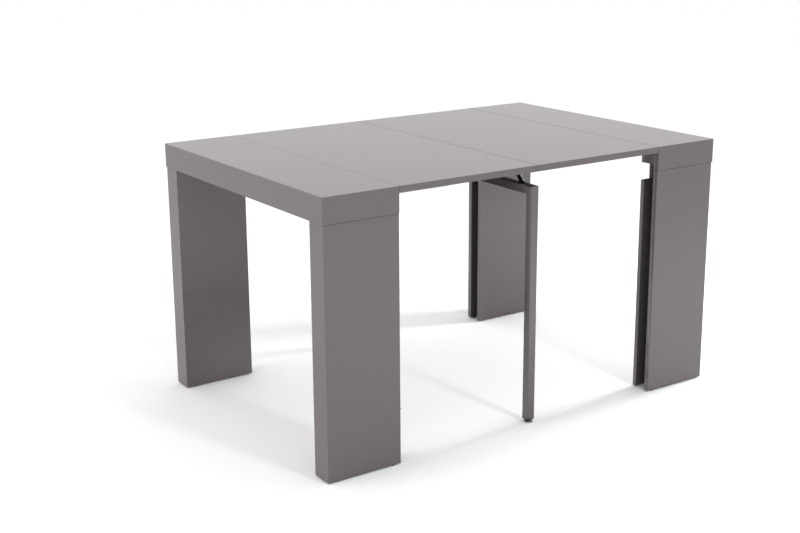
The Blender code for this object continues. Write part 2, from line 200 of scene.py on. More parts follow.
@dataclass(frozen=True)
class Noise:
    """A mottled pattern on a piece's own coordinates.

    Attributes:
        size: The width of one mottle, along all axes or along each.
        detail: How many finer layers it has.
        warp: How far the mottles are drawn out of shape.
    """

    size: float | Triple
    detail: float = 3.0
    warp: float = 0.0


class Recipe(NodeSheet):
    """A material's node tree, with the textures that its finishes share."""

    def __init__(self, name: str) -> None:
        """Make the material and find its shader.

        Args:
            name: The material's name.
        """
        self.material = bpy.data.materials.new(name)
        self.material.use_nodes = True
        super().__init__(self.material.node_tree)
        self.shader = self.tree.nodes["Principled BSDF"]
        self.place = self.output("ShaderNodeTexCoord", "Object")
        self.noises: dict[Noise, Socket] = {}

    def noise(self, pattern: Noise) -> Socket:
        """Add a noise, once for each pattern.

        Args:
            pattern: The noise's pattern.

        Returns:
            The socket of its amount, from 0 to 1.
        """
        if pattern not in self.noises:
            sizes = [pattern.size] * 3 if isinstance(pattern.size, float) else pattern.size
            mapping = {"Vector": self.place, "Scale": [1 / size for size in sizes]}
            inputs = {"Vector": self.output("ShaderNodeMapping", "Vector", mapping), "Scale": 1.0}
            inputs |= {"Detail": pattern.detail, "Distortion": pattern.warp}
            self.noises[pattern] = self.output("ShaderNodeTexNoise", "Fac", inputs)
        return self.noises[pattern]

    def tint(self, amount: Socket, dark: Triple, light: Triple) -> Socket:
        """Run from one colour to another over the middle of an amount.

        Args:
            amount: The socket of the amount.
            dark: The colour where there is little of it.
            light: The colour where there is much.

        Returns:
            The socket of the colour.
        """
        node = self.add("ShaderNodeValToRGB", {"Fac": amount})
        for element, position, colour in zip(node.color_ramp.elements, NOISE_RANGE, (dark, light)):
            element.position = position
            element.color = (*colour, 1.0)
        return node.outputs["Color"]

    def spread(self, amount: Socket, low: float, high: float) -> Socket:
        """Run from one number to another over the middle of an amount.

        Args:
            amount: The socket of the amount.
            low: The number where there is little of it.
            high: The number where there is much.

        Returns:
            The socket of the number.
        """
        titles = ("From Min", "From Max", "To Min", "To Max")
        limits = dict(zip(titles, (*NOISE_RANGE, low, high)))
        return self.output("ShaderNodeMapRange", "Result", {"Value": amount, **limits})

    def relief(self, height: Socket, depth: float, under: Socket | None = None) -> Socket:
        """Roughen the surface.

        Args:
            height: The socket of the height, from 0 to 1.
            depth: How deep the roughness is.
            under: The normal that it lies on, if another relief comes first.

        Returns:
            The socket of the normal.
        """
        bump = self.add("ShaderNodeBump", {"Height": height, "Distance": depth, "Strength": 1.0})
        if under is not None:
            self.feed(bump.inputs["Normal"], under)
        return bump.outputs["Normal"]

    def surface(self, **inputs: object) -> None:
        """Set the shader's inputs, named with low lines for spaces."""
        for name, value in inputs.items():
            self.feed(self.shader.inputs[name.replace("_", " ")], value)


@dataclass(frozen=True)
class Finish:
    """A surface's colour, gloss and grain, each uneven in its own way.

    Attributes:
        name: The material's name.
        slot: The record's material slot that it belongs to.
        colour: Its linear base colour.
        roughness: Its middle roughness.
        mottle: Where its colour is darker and lighter.
        tones: Its darkest and lightest tones, as shares of the colour.
        wear: Where it is glossier and duller.
        wear_span: Its least and greatest roughness, as shares of the middle one.
        grain: The pattern of its relief.
        grain_depth: How deep the relief is.
        metal: How metallic it is.
        gloss: How strongly it reflects.
    """

    name: str
    slot: str
    colour: Triple
    roughness: float
    mottle: Noise
    tones: Pair
    wear: Noise
    wear_span: Pair
    grain: Noise
    grain_depth: float
    metal: float = 0.0
    gloss: float = 0.5

    def material(self) -> bpy.types.Material:
        """Make the finish's material on first use.

        Returns:
            The material.
        """
        made = bpy.data.materials.get(self.name)
        if made is None:
            recipe = Recipe(self.name)
            low, high = (share * self.roughness for share in self.wear_span)
            recipe.surface(
                Base_Color=self.hue(recipe),
                Roughness=recipe.spread(recipe.noise(self.wear), low, high),
                Metallic=self.metal,
                Specular_IOR_Level=self.gloss,
                Normal=self.bumps(recipe),
            )
            made = recipe.material
        return made

    def hue(self, recipe: Recipe) -> Socket:
        """Return the socket of the mottled colour."""
        dark, light = ([share * channel for channel in self.colour] for share in self.tones)
        return recipe.tint(recipe.noise(self.mottle), dark, light)

    def bumps(self, recipe: Recipe) -> Socket:
        """Return the socket of the grained normal."""
        return recipe.relief(recipe.noise(self.grain), self.grain_depth)


@dataclass(frozen=True)
class Lacquer(Finish):
    """Sprayed and polished lacquer: deep gloss, a trace of orange peel and faint wiping marks."""

    mottle: Noise = Noise(0.35)
    tones: Pair = (0.988, 1.012)
    wear: Noise = Noise((0.16, 0.09, 0.12), 5.0, 0.8)
    wear_span: Pair = (0.75, 1.35)
    grain: Noise = Noise(0.0035, 1.0)
    grain_depth: float = 0.000006


@dataclass(frozen=True)
class MattCoat(Finish):
    """A thin matt sealing coat on board, with the board's fibres just showing; its copies here are darker
    than the lacquer, in part as painted shade in the hollows, on the head blocks and under the leaves.
    """

    mottle: Noise = Noise(0.02)
    tones: Pair = (0.94, 1.06)
    wear: Noise = Noise(0.0012, 4.0)
    wear_span: Pair = (0.85, 1.15)
    grain: Noise = Noise(0.0012, 4.0)
    grain_depth: float = 0.00003


@dataclass(frozen=True)
class Timber(Finish):
    """Planed beech with its grain along X and short dark flecks.

    Attributes:
        fleck: The pattern of the flecks.
        fleck_depth: How deep they are.
        fleck_tint: What they do to the colour.
        fleck_share: How much of that shows.
    """

    mottle: Noise = Noise((0.12, 0.0035, 0.0035), 4.0, 1.2)
    tones: Pair = (0.74, 1.12)
    wear: Noise = Noise((0.12, 0.0035, 0.0035), 4.0, 1.2)
    wear_span: Pair = (0.9, 1.1)
    grain: Noise = Noise((0.12, 0.0035, 0.0035), 4.0, 1.2)
    grain_depth: float = 0.0001
    fleck: Noise = Noise((0.006, 0.0006, 0.0006), 1.0)
    fleck_depth: float = 0.00006
    fleck_tint: Triple = (0.72, 0.66, 0.60)
    fleck_share: float = 0.8

    def hue(self, recipe: Recipe) -> Socket:
        """Darken the grained wood with its flecks.

        Args:
            recipe: The material's tree.

        Returns:
            The socket of the colour.
        """
        flecks = recipe.tint(recipe.noise(self.fleck), self.fleck_tint, WHITE)
        inputs = {"Fac": self.fleck_share, "Color1": super().hue(recipe), "Color2": flecks}
        return recipe.output("ShaderNodeMixRGB", "Color", inputs, blend_type="MULTIPLY")

    def bumps(self, recipe: Recipe) -> Socket:
        """Return the socket of the grained normal with its flecks."""
        return recipe.relief(recipe.noise(self.fleck), self.fleck_depth, super().bumps(recipe))


@dataclass(frozen=True)
class DrawnMetal(Finish):
    """Anodised bar with the fine lines that the die leaves along X."""

    mottle: Noise = Noise(0.06)
    tones: Pair = (0.96, 1.04)
    wear: Noise = Noise((0.4, 0.0005, 0.0005))
    wear_span: Pair = (0.8, 1.3)
    grain: Noise = Noise((0.4, 0.0005, 0.0005))
    grain_depth: float = 0.000012
    metal: float = 1.0


@dataclass(frozen=True)
class PowderCoat(Finish):
    """Baked powder paint with metal flake: satin, with the close grain that it flows out to."""

    mottle: Noise = Noise(0.05)
    tones: Pair = (0.988, 1.012)
    wear: Noise = Noise(0.03, 4.0)
    wear_span: Pair = (0.93, 1.08)
    grain: Noise = Noise(0.0011, 2.0)
    grain_depth: float = 0.000006
    metal: float = 0.9


@dataclass(frozen=True)
class Moulding(Finish):
    """Moulded plastic or rubber with a fine spark-eroded grain."""

    mottle: Noise = Noise(0.01)
    tones: Pair = (0.88, 1.12)
    wear: Noise = Noise(0.0006, 2.0)
    wear_span: Pair = (0.85, 1.15)
    grain: Noise = Noise(0.0006, 2.0)
    grain_depth: float = 0.00004


@dataclass(frozen=True)
class PlatedSteel(Finish):
    """Bright plated steel with soft handling marks."""

    mottle: Noise = Noise(0.012)
    tones: Pair = (0.94, 1.06)
    wear: Noise = Noise(0.004, 4.0)
    wear_span: Pair = (0.7, 1.4)
    grain: Noise = Noise(0.0004, 1.0)
    grain_depth: float = 0.000003
    metal: float = 1.0


LACQUER = Lacquer("gloss_lacquer", "taupe_lacquer", (0.117, 0.0995, 0.1005), 0.06)
# Partly a matt back coat, partly painted shade: the leaves' undersides and the caps' insides are darker
# than the lacquer, which dims the light and reflections under the table.
SHADED_BACK_COAT = MattCoat("matt_back_coat", "taupe_lacquer", (0.085, 0.078, 0.075), 0.55)
# Painted shade: a darker matt coat for the walls of the legs' channels and notches, for the pin holes,
# and for the strips behind the shadow gap.
SHADE_COAT = MattCoat("dark_channel_coat", "shadow_paint", (0.072, 0.068, 0.066), 0.60, gloss=0.3)
# Painted shade: the head blocks' coat is the taupe darkened for the shade under the leaves.
SHADED_BLOCK_COAT = MattCoat("grey_block_coat", "shadow_paint", (0.075, 0.070, 0.068), 0.50)
BEECH = Timber("planed_beech", "batten_wood", (0.46, 0.32, 0.20), 0.55)
ALUMINIUM = DrawnMetal("drawn_aluminium", "slide_aluminium", (0.62, 0.62, 0.63), 0.32)
FRAME_PAINT = PowderCoat("baked_frame_paint", "frame_paint", (0.144, 0.135, 0.131), 0.15)
BLACK_STEEL = PowderCoat("blackened_steel", "black_steel", (0.010, 0.010, 0.011), 0.36)
BLACK_PLASTIC = Moulding("black_moulding", "black_plastic", (0.014, 0.014, 0.014), 0.50)
BRIGHT_STEEL = PlatedSteel("bright_plating", "bright_steel", (0.60, 0.60, 0.61), 0.20)
# Painted highlight: very bright zinc for the lit part of the hangers' slanted faces.
HIGHLIGHT_ZINC = PlatedSteel("dull_zinc", "bright_steel", (0.92, 0.92, 0.93), 0.70)
# Painted shade: a darker copy of the plating for the levelling feet, for their shade under the tubes and
# their dark reflections.
SHADED_STEEL = PlatedSteel("dark_plating", "bright_steel", (0.36, 0.36, 0.365), 0.30)


def new_object(name: str, mesh: bpy.types.Mesh) -> Piece:
    """Add a mesh to the scene as an object at the origin.

    Args:
        name: The object's name.
        mesh: Its mesh.

    Returns:
        The object.
    """
    made = bpy.data.objects.new(name, mesh)
    bpy.context.scene.collection.objects.link(made)
    return made


def mesh_from(name: str, bm: bmesh.types.BMesh) -> bpy.types.Mesh:
    """Turn a bmesh into a smooth-shaded mesh.

    Args:
        name: The mesh's name.
        bm: The bmesh, which is freed.

    Returns:
        The mesh.
    """
    mesh = bpy.data.meshes.new(name)
    bm.to_mesh(mesh)
    bm.free()
    mesh.shade_smooth()
    return mesh


def settled(holder: Piece, name: str) -> Piece:
    """Turn an object into a plain mesh as its modifiers leave it.

    Args:
        holder: The object, which is removed.
        name: The name of the plain one.

    Returns:
        The new object, without modifiers.
    """
    bpy.context.view_layer.update()
    evaluated = holder.evaluated_get(bpy.context.evaluated_depsgraph_get())
    mesh = bpy.data.meshes.new_from_object(evaluated)
    bpy.data.objects.remove(holder, do_unlink=True)
    mesh.name = name
    return new_object(name, mesh)


def eased(holder: Piece, name: str, radius: float, steps: int = 3, weighted: bool = False) -> Piece:
    """Round an object's sharp edges and keep its flat sides flat.

    Args:
        holder: The object with sharp edges, which is removed.
        name: The name of the rounded one.
        radius: The edges' radius.
        steps: How many facets an edge is rounded with.
        weighted: Whether only the edges with a bevel weight are rounded.

    Returns:
        The rounded object.
    """
    bevel = holder.modifiers.new("rounded_edges", "BEVEL")
    bevel.limit_method = "WEIGHT" if weighted else "ANGLE"
    bevel.angle_limit = SHARP_ANGLE
    bevel.width = radius
    bevel.segments = steps
    bevel.harden_normals = True
    if not weighted:
        holder.modifiers.new("flat_sides", "WEIGHTED_NORMAL").keep_sharp = True
    return settled(holder, name)


def paint(
    piece: Piece, finish: Finish, other: Finish | None = None, picks: FaceTest | None = None
) -> Piece:
    """Give a plain piece its finish, and some of its faces another one.

    Args:
        piece: The piece.
        finish: The finish of most of its faces.
        other: The finish of the rest.
        picks: What tells whether a face has that other finish.

    Returns:
        The same piece.
    """
    piece.data.materials.append(finish.material())
    if other is not None and picks is not None:
        piece.data.materials.append(other.material())
        for face in piece.data.polygons:
            face.material_index = int(picks(face))
    return piece


def turned(name: str, profile: Sequence[Pair], radius: float, place: Matrix) -> Piece:
    """Turn a piece about its own Z axis.

    Args:
        name: The piece's name.
        profile: Distances from the axis and heights, from the top to the bottom.
        radius: The radius of its eased edges.
        place: Where the piece goes.

    Returns:
        The turned piece, with its place in its mesh.
    """
    bm = bmesh.new()
    line = [bm.verts.new((distance, 0, height)) for distance, height in profile]
    edges = [bm.edges.new(pair) for pair in zip(line, line[1:])]
    spun = {"cent": (0, 0, 0), "axis": (0, 0, 1), "angle": math.tau, "steps": ROUND_STEPS}
    bmesh.ops.spin(bm, geom=line + edges, use_merge=True, **spun)
    bmesh.ops.remove_doubles(bm, verts=bm.verts, dist=WELD)
    bmesh.ops.recalc_face_normals(bm, faces=bm.faces)
    bmesh.ops.transform(bm, matrix=place, verts=bm.verts)
    return eased(new_object(name + "_blank", mesh_from(name, bm)), name, radius)


def lofted(name: str, loops: Sequence[Sequence[Vector]], ring: bool = False) -> Piece:
    """Join loops of as many points with a skin of quads.

    Args:
        name: The object's name.
        loops: The loops, in order along the skin.
        ring: Whether the last loop joins on to the first; otherwise both are filled.

    Returns:
        The closed object.
    """
    bm = bmesh.new()
    rows = [[bm.verts.new(point) for point in loop] for loop in loops]
    pairs = list(zip(rows, rows[1:]))
    if ring:
        pairs.append((rows[-1], rows[0]))
    for one, other in pairs:
        for i in range(len(one)):
            j = (i + 1) % len(one)
            bm.faces.new((one[i], one[j], other[j], other[i]))
    if not ring:
        bm.faces.new(rows[0])
        bm.faces.new(rows[-1])
    bmesh.ops.recalc_face_normals(bm, faces=bm.faces)
    return new_object(name, mesh_from(name, bm))


def rounded_square(size: float, radius: float) -> list[Pair]:
    """Draw a square with rounded corners about the origin.

    Args:
        size: The length of its sides.
        radius: The radius of its corners.

    Returns:
        The points of its outline.
    """
    reach = size / 2 - radius
    outline = []
    for corner, (u, v) in enumerate(((1, 1), (-1, 1), (-1, -1), (1, -1))):
        for step in range(BEND_STEPS + 1):
            angle = math.pi / 2 * (corner + step / BEND_STEPS)
            outline.append((u * reach + radius * math.cos(angle), v * reach + radius * math.sin(angle)))
    return outline


def bent_path(corners: Sequence[Vector], radius: float) -> list[Vector]:
    """Bend a path at its inner corners.

    Args:
        corners: The path's ends and corners.
        radius: The radius of its bends.

    Returns:
        The points of the bent path.
    """
    path = [corners[0]]
    for before, corner, after in zip(corners, corners[1:], corners[2:]):
        back = (before - corner).normalized()
        on = (after - corner).normalized()
        half = back.angle(on) / 2
        centre = corner + (back + on).normalized() * radius / math.sin(half)
        start = corner + back * radius / math.tan(half)
        end = corner + on * radius / math.tan(half)
        for step in range(BEND_STEPS + 1):
            arm = (start - centre).lerp(end - centre, step / BEND_STEPS).normalized()
            path.append(centre + arm * radius)
    path.append(corners[-1])
    return path


@dataclass(frozen=True, eq=False)
class Box:
    """A box in the table's frame, between two corners."""

    low: Vector
    high: Vector

    @classmethod
    def of(cls, node: str) -> "Box":
        """Return the box round one of the frame's nodes."""
        return cls(*map(Vector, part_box(node)))

    @classmethod
    def spanning(cls, *spans: Sequence[float]) -> "Box":
        """Return the box between the lower and upper limits along X, Y and Z."""
        return cls(*map(Vector, zip(*spans)))

    @property
    def middle(self) -> Vector:
        """Return the box's middle point."""
        return (self.low + self.high) / 2

    def size(self, axis: int) -> float:
        """Return the box's length along an axis."""
        return self.high[axis] - self.low[axis]

    def side(self, axis: int, way: int) -> float:
        """Return the place of the lower side, for a way of -1, or of the upper one, for 1."""
        return (self.low if way < 0 else self.high)[axis]

    def stretched(self, axis: int, low: float | None = None, high: float | None = None) -> "Box":
        """Move one or both of the box's sides.

        Args:
            axis: The axis that they move along.
            low: The new place of the lower side, if it moves.
            high: The new place of the upper side, if it moves.

        Returns:
            The new box.
        """
        corners = self.low.copy(), self.high.copy()
        for corner, value in zip(corners, (low, high)):
            if value is not None:
                corner[axis] = value
        return Box(*corners)

    def slab(self, axis: int, way: int, depth: float) -> "Box":
        """Cut the box down to a slab along one of its sides.

        Args:
            axis: The axis across the slab.
            way: The side that it keeps: -1 for the lower one, 1 for the upper one.
            depth: The slab's thickness.

        Returns:
            The slab.
        """
        if way < 0:
            return self.stretched(axis, high=self.low[axis] + depth)
        return self.stretched(axis, low=self.high[axis] - depth)

    def holds(self, point: Vector, margin: float = 0.0) -> bool:
        """Tell whether a point lies in the box, grown by a margin."""
        spans = zip(self.low, point, self.high)
        return all(low - margin <= place <= high + margin for low, place, high in spans)

    def between(self, other: "Box", axis: int) -> Pair:
        """Return the two sides of the gap to another box along an axis, the lower first."""
        first, second = sorted((self, other), key=lambda box: box.low[axis])
        return first.high[axis], second.low[axis]


@dataclass(frozen=True, eq=False)
class Bore:
    """A blind round hole along X.

    Attributes:
        mouth: The middle of its mouth.
        diameter: Its diameter.
        depth: Its depth.
    """

    mouth: Vector
    diameter: float
    depth: float

    def cutter(self) -> Piece:
        """Make a rod that cuts the hole.

        Returns:
            The rod.
        """
        bm = bmesh.new()
        place = Matrix.Translation(self.mouth) @ Matrix.Rotation(math.pi / 2, 4, "Y")
        sizes = {"radius1": self.diameter / 2, "radius2": self.diameter / 2, "depth": 2 * self.depth}
        bmesh.ops.create_cone(bm, cap_ends=True, segments=ROUND_STEPS, matrix=place, **sizes)
        return new_object("bore_cutter", mesh_from("bore_cutter", bm))

    def meets(self, point: Vector) -> bool:
        """Tell whether a point lies in the hole or on its wall."""
        off = point - self.mouth
        return off.yz.length < self.diameter / 2 + WELD and abs(off.x) < self.depth + WELD


@dataclass
class Carcass:
    """Square-cut boards that are joined and lacquered over as one closed skin.

    Attributes:
        name: The piece's name.
        boards: The boards, which may overlap.
        cuts: What is cut out of them.
        hollows: Spaces whose walls have the inside finish.
        bores: Round holes, whose walls have the inside finish too.
        outside: The finish of what shows.
        inside: The finish of the hollows and bores, a darker coat that paints their shade.
        edge_radius: The radius of its edges.
    """

    name: str
    boards: list[Box]
    cuts: list[Box] = field(default_factory=list)
    hollows: list[Box] = field(default_factory=list)
    bores: list[Bore] = field(default_factory=list)
    outside: Finish = LACQUER
    inside: Finish = SHADED_BACK_COAT
    edge_radius: float = 0.0014

    def build(self) -> Piece:
        """Join, drill, round and finish the boards.

        Returns:
            The finished skin.
        """
        blank = new_object(self.name + "_blank", self.union())
        for bore in self.bores:
            blank = self.drilled(blank, bore)
        self.weigh_edges(blank.data)
        piece = eased(blank, self.name, self.edge_radius, weighted=True)
        return paint(piece, self.outside, self.inside, self.is_inside)

    def union(self) -> bpy.types.Mesh:
        """Join the boards less the cuts, on the grid of all their planes.

        Returns:
            One closed mesh, each flat side one face.
        """
        corners = [corner for box in self.boards + self.cuts for corner in (box.low, box.high)]
        planes = [sorted({round(corner[axis], MICRON_DIGITS) for corner in corners}) for axis in AXES]
        cells = itertools.product(*(range(len(levels) - 1) for levels in planes))
        solid = {cell for cell in cells if self.is_solid(cell, planes)}
        bm = bmesh.new()
        points: dict[Cell, bmesh.types.BMVert] = {}
        for cell, axis, step in itertools.product(solid, AXES, (0, 1)):
            beside = tuple(i + (2 * step - 1) * (axis == a) for a, i in enumerate(cell))
            if beside in solid:
                continue
            loop = []
            for u, v in ((0, 0), (1, 0), (1, 1), (0, 1)):
                offset = {axis: step, (axis + 1) % 3: u, (axis + 2) % 3: v}
                index = tuple(i + offset[a] for a, i in enumerate(cell))
                if index not in points:
                    points[index] = bm.verts.new([planes[a][i] for a, i in enumerate(index)])
                loop.append(points[index])
            bm.faces.new(loop if step else loop[::-1])
        bmesh.ops.dissolve_limit(bm, angle_limit=FLAT_ANGLE, verts=bm.verts, edges=bm.edges)
        return mesh_from(self.name, bm)

    def is_solid(self, cell: Cell, planes: list[list[float]]) -> bool:
        """Tell whether a cell of the grid is board.

        Args:
            cell: The cell's numbers along X, Y and Z.
            planes: The grid's planes along each axis.

        Returns:
            Whether it lies in a board and in no cut.
        """
        middle = Vector([(planes[a][i] + planes[a][i + 1]) / 2 for a, i in enumerate(cell)])
        in_board, in_cut = (any(box.holds(middle) for box in kind) for kind in (self.boards, self.cuts))
        return in_board and not in_cut

    def drilled(self, blank: Piece, bore: Bore) -> Piece:
        """Cut one bore.

        Args:
            blank: The boards, which are removed.
            bore: The bore.

        Returns:
            The boards with the bore.
        """
        cutter = bore.cutter()
        boolean = blank.modifiers.new("bore", "BOOLEAN")
        boolean.operation = "DIFFERENCE"
        boolean.object = cutter
        cut = settled(blank, self.name + "_blank")
        bpy.data.objects.remove(cutter, do_unlink=True)
        return cut

    def weigh_edges(self, mesh: bpy.types.Mesh) -> None:
        """Mark the sharp edges for rounding, apart from the bores' own.

        Args:
            mesh: The boards' mesh.
        """
        bm = bmesh.new()
        bm.from_mesh(mesh)
        weight = bm.edges.layers.float.new("bevel_weight_edge")
        for edge in bm.edges:
            of_bore = any(all(bore.meets(vert.co) for vert in edge.verts) for bore in self.bores)
            edge[weight] = float(edge.calc_face_angle(0.0) > SHARP_ANGLE and not of_bore)
        bm.to_mesh(mesh)
        bm.free()
        mesh.shade_smooth()

    def is_inside(self, face: bpy.types.MeshPolygon) -> bool:
        """Tell whether a face is a wall of a hollow or of a bore.

        Args:
            face: The face.

        Returns:
            Whether it has the inside finish.
        """
        for hollow in self.hollows:
            looks_in = face.normal.dot(hollow.middle - face.center) > 0
            if looks_in and hollow.holds(face.center, TOUCH):
                return True
        return any(bore.meets(face.center) for bore in self.bores)


@dataclass
class Pattern:
    """A Geometry Nodes tree that sets copies of one fitting on points.

    The number fields of each kind of pattern are the tree's named inputs.

    Attributes:
        finish: The fitting's finish.
        facing: The way its head looks.
        seed: The seed of the turns about the fitting's own axis.
    """

    finish: Finish
    facing: Facing = Facing.UP
    seed: int = 1

    def inputs(self) -> dict[str, float | int]:
        """Return the pattern's sizes and counts by the names of their inputs."""
        values = {item.name.replace("_", " ").title(): getattr(self, item.name) for item in fields(self)}
        return {title: value for title, value in values.items() if isinstance(value, (int, float))}

    def fitting(self, sheet: NodeSheet, size: Sizes) -> Socket:
        """Build one fitting, standing along +Z from the origin; each pattern has its own way."""
        raise NotImplementedError

    def tree(self) -> bpy.types.NodeTree:
        """Build the pattern's tree on first use.

        Returns:
            The tree.
        """
        name = type(self).__name__
        tree = bpy.data.node_groups.get(name)
        if tree is not None:
            return tree
        tree = bpy.data.node_groups.new(name, "GeometryNodeTree")
        tree.is_modifier = True
        numbers = self.inputs().items()
        kinds = {title: "Int" if isinstance(value, int) else "Float" for title, value in numbers}
        kinds = {"Points": "Geometry", **kinds, "Turn": "Vector", "Material": "Material"}
        for title, kind in kinds.items():
            tree.interface.new_socket(title, in_out="INPUT", socket_type=f"NodeSocket{kind}")
        tree.interface.new_socket("Fittings", in_out="OUTPUT", socket_type="NodeSocketGeometry")

        sheet = NodeSheet(tree)
        entry = sheet.add("NodeGroupInput").outputs
        fitting = self.fitting(sheet, entry)
        points = sheet.output("GeometryNodeMeshToPoints", "Points", {"Mesh": entry["Points"]})
        placing = {"Points": points, "Instance": fitting, "Rotation": entry["Turn"]}
        placed = sheet.output("GeometryNodeInstanceOnPoints", "Instances", placing)
        drawn = {"Min": (0, 0, 0), "Max": (0, 0, math.tau), "Seed": entry["Seed"]}
        chance = sheet.output("FunctionNodeRandomValue", "Value", drawn, data_type="FLOAT_VECTOR")
        turning = {"Instances": placed, "Rotation": chance, "Local Space": True}
        spun = sheet.output("GeometryNodeRotateInstances", "Instances", turning)
        real = sheet.output("GeometryNodeRealizeInstances", "Geometry", {"Geometry": spun})
        dressing = {"Geometry": real, "Material": entry["Material"]}
        dressed = sheet.output("GeometryNodeSetMaterial", "Geometry", dressing)
        sheet.add("NodeGroupOutput", {"Fittings": dressed})
        return tree

    def grow(self, name: str, points: Iterable[Sequence[float]]) -> Piece:
        """Set the fittings on points.

        Args:
            name: The name of the piece.
            points: Where each fitting's foot is.

        Returns:
            All of them as one plain mesh.
        """
        seats = bpy.data.meshes.new(name)
        seats.from_pydata([tuple(point) for point in points], [], [])
        holder = new_object(name + "_seats", seats)
        modifier = holder.modifiers.new("pattern", "NODES")
        modifier.node_group = self.tree()
        values = self.inputs() | {"Turn": self.facing.value, "Material": self.finish.material()}
        for item in modifier.node_group.interface.items_tree:
            if item.in_out == "INPUT" and item.name in values:
                modifier[item.identifier] = values[item.name]
        piece = settled(holder, name)
        piece.data.shade_smooth()
        piece.data.set_sharp_from_angle(angle=SHARP_ANGLE)
        return piece


@dataclass
class Screws(Pattern):
    """Cross-recessed screw heads; a seat narrower than the crown makes them countersunk."""

    facets: int = 28
    seat: float = 0.0016
    crown: float = 0.0034
    height: float = 0.0028
    sink: float = 0.0025
    recess_length: float = 0.0042
    recess_width: float = 0.0009
    recess_depth: float = 0.0014

    def fitting(self, sheet: NodeSheet, size: Sizes) -> Socket:
        """Build one head with its cross cut in.

        Args:
            sheet: The tree to fill.
            size: The sockets of the screws' sizes by name.

        Returns:
            The socket of the head.
        """
        shape = {"Radius Bottom": size["Seat"], "Radius Top": size["Crown"], "Depth": size["Height"]}
        head = sheet.output("GeometryNodeMeshCone", "Mesh", {"Vertices": size["Facets"], **shape})
        depth = sheet.calc("MULTIPLY", size["Recess Depth"], 2.0)
        extent = sheet.vector(X=size["Recess Length"], Y=size["Recess Width"], Z=depth)
        blade = sheet.output("GeometryNodeMeshCube", "Mesh", {"Size": extent})
        cut = sheet.add("GeometryNodeMeshBoolean", {"Mesh 1": head}, operation="DIFFERENCE")
        top = sheet.vector(Z=size["Height"])
        for angle in (0, math.pi / 2):
            moving = {"Geometry": blade, "Translation": top, "Rotation": (0, 0, angle)}
            sheet.feed(cut.inputs["Mesh 2"], sheet.output("GeometryNodeTransform", "Geometry", moving))
        sunk = sheet.vector(Z=sheet.calc("MULTIPLY", size["Sink"], -1.0))
        seated = {"Geometry": cut.outputs["Mesh"], "Translation": sunk}
        return sheet.output("GeometryNodeTransform", "Geometry", seated)


@dataclass
class Bolts(Screws):
    """Raised bolt heads with the same cross."""

    seat: float = 0.0033
    crown: float = 0.0026
    height: float = 0.002
    sink: float = 0.0


@dataclass
class Studs(Pattern):
    """Round studs with a chamfered crown, for glides and grip ribs."""

    facets: int = 32
    radius: float = 0.006
    crown: float = 0.0052
    height: float = 0.004
    chamfer: float = 0.0008

    def fitting(self, sheet: NodeSheet, size: Sizes) -> Socket:
        """Build one stud, whose end face is drawn out and narrowed.

        Args:
            sheet: The tree to fill.
            size: The sockets of the studs' sizes by name.

        Returns:
            The socket of the stud.
        """
        shape = {"Radius Bottom": size["Radius"], "Radius Top": size["Radius"]}
        shape["Depth"] = sheet.calc("SUBTRACT", size["Height"], size["Chamfer"])
        stud = sheet.add("GeometryNodeMeshCone", {"Vertices": size["Facets"], **shape}).outputs
        drawing = {"Mesh": stud["Mesh"], "Selection": stud["Top"], "Offset Scale": size["Chamfer"]}
        drawn = sheet.add("GeometryNodeExtrudeMesh", drawing).outputs
        narrowing = {"Geometry": drawn["Mesh"], "Selection": drawn["Top"]}
        narrowing["Scale"] = sheet.calc("DIVIDE", size["Crown"], size["Radius"])
        return sheet.output("GeometryNodeScaleElements", "Geometry", narrowing)


@dataclass
class Rivets(Studs):
    """Low rivet heads."""

    radius: float = 0.0024
    crown: float = 0.0015
    height: float = 0.0012


@dataclass
class Threads(Pattern):
    """Screw threads, wound on stems."""

    facets: int = 24
    radius: float = 0.0036
    ridge: float = 0.0006
    ridge_facets: int = 4
    turns: float = 14.0
    length: float = 0.0175

    def fitting(self, sheet: NodeSheet, size: Sizes) -> Socket:
        """Build one thread: a ridge on a helix.

        Args:
            sheet: The tree to fill.
            size: The sockets of the threads' sizes by name.

        Returns:
            The socket of the thread.
        """
        helix = {"Resolution": size["Facets"], "Rotations": size["Turns"], "Height": size["Length"]}
        helix |= {"Start Radius": size["Radius"], "End Radius": size["Radius"]}
        path = sheet.output("GeometryNodeCurveSpiral", "Curve", helix)
        section = {"Resolution": size["Ridge Facets"], "Radius": size["Ridge"]}
        ridge = sheet.output("GeometryNodeCurvePrimitiveCircle", "Curve", section)
        sweep = {"Curve": path, "Profile Curve": ridge, "Fill Caps": True}
        return sheet.output("GeometryNodeCurveToMesh", "Mesh", sweep)


@dataclass
class WeldBeads(Pattern):
    """The overlapping ripples of a weld seam."""

    radius: float = 0.0019
    flatness: float = 0.75
    segments: int = 16
    rings: int = 10

    def fitting(self, sheet: NodeSheet, size: Sizes) -> Socket:
        """Build one ripple.

        Args:
            sheet: The tree to fill.
            size: The sockets of the ripples' sizes by name.

        Returns:
            The socket of the ripple.
        """
        shape = {name: size[name] for name in ("Segments", "Rings", "Radius")}
        ball = sheet.output("GeometryNodeMeshUVSphere", "Mesh", shape)
        scale = sheet.vector(X=1.0, Y=1.0, Z=size["Flatness"])
        return sheet.output("GeometryNodeTransform", "Geometry", {"Geometry": ball, "Scale": scale})


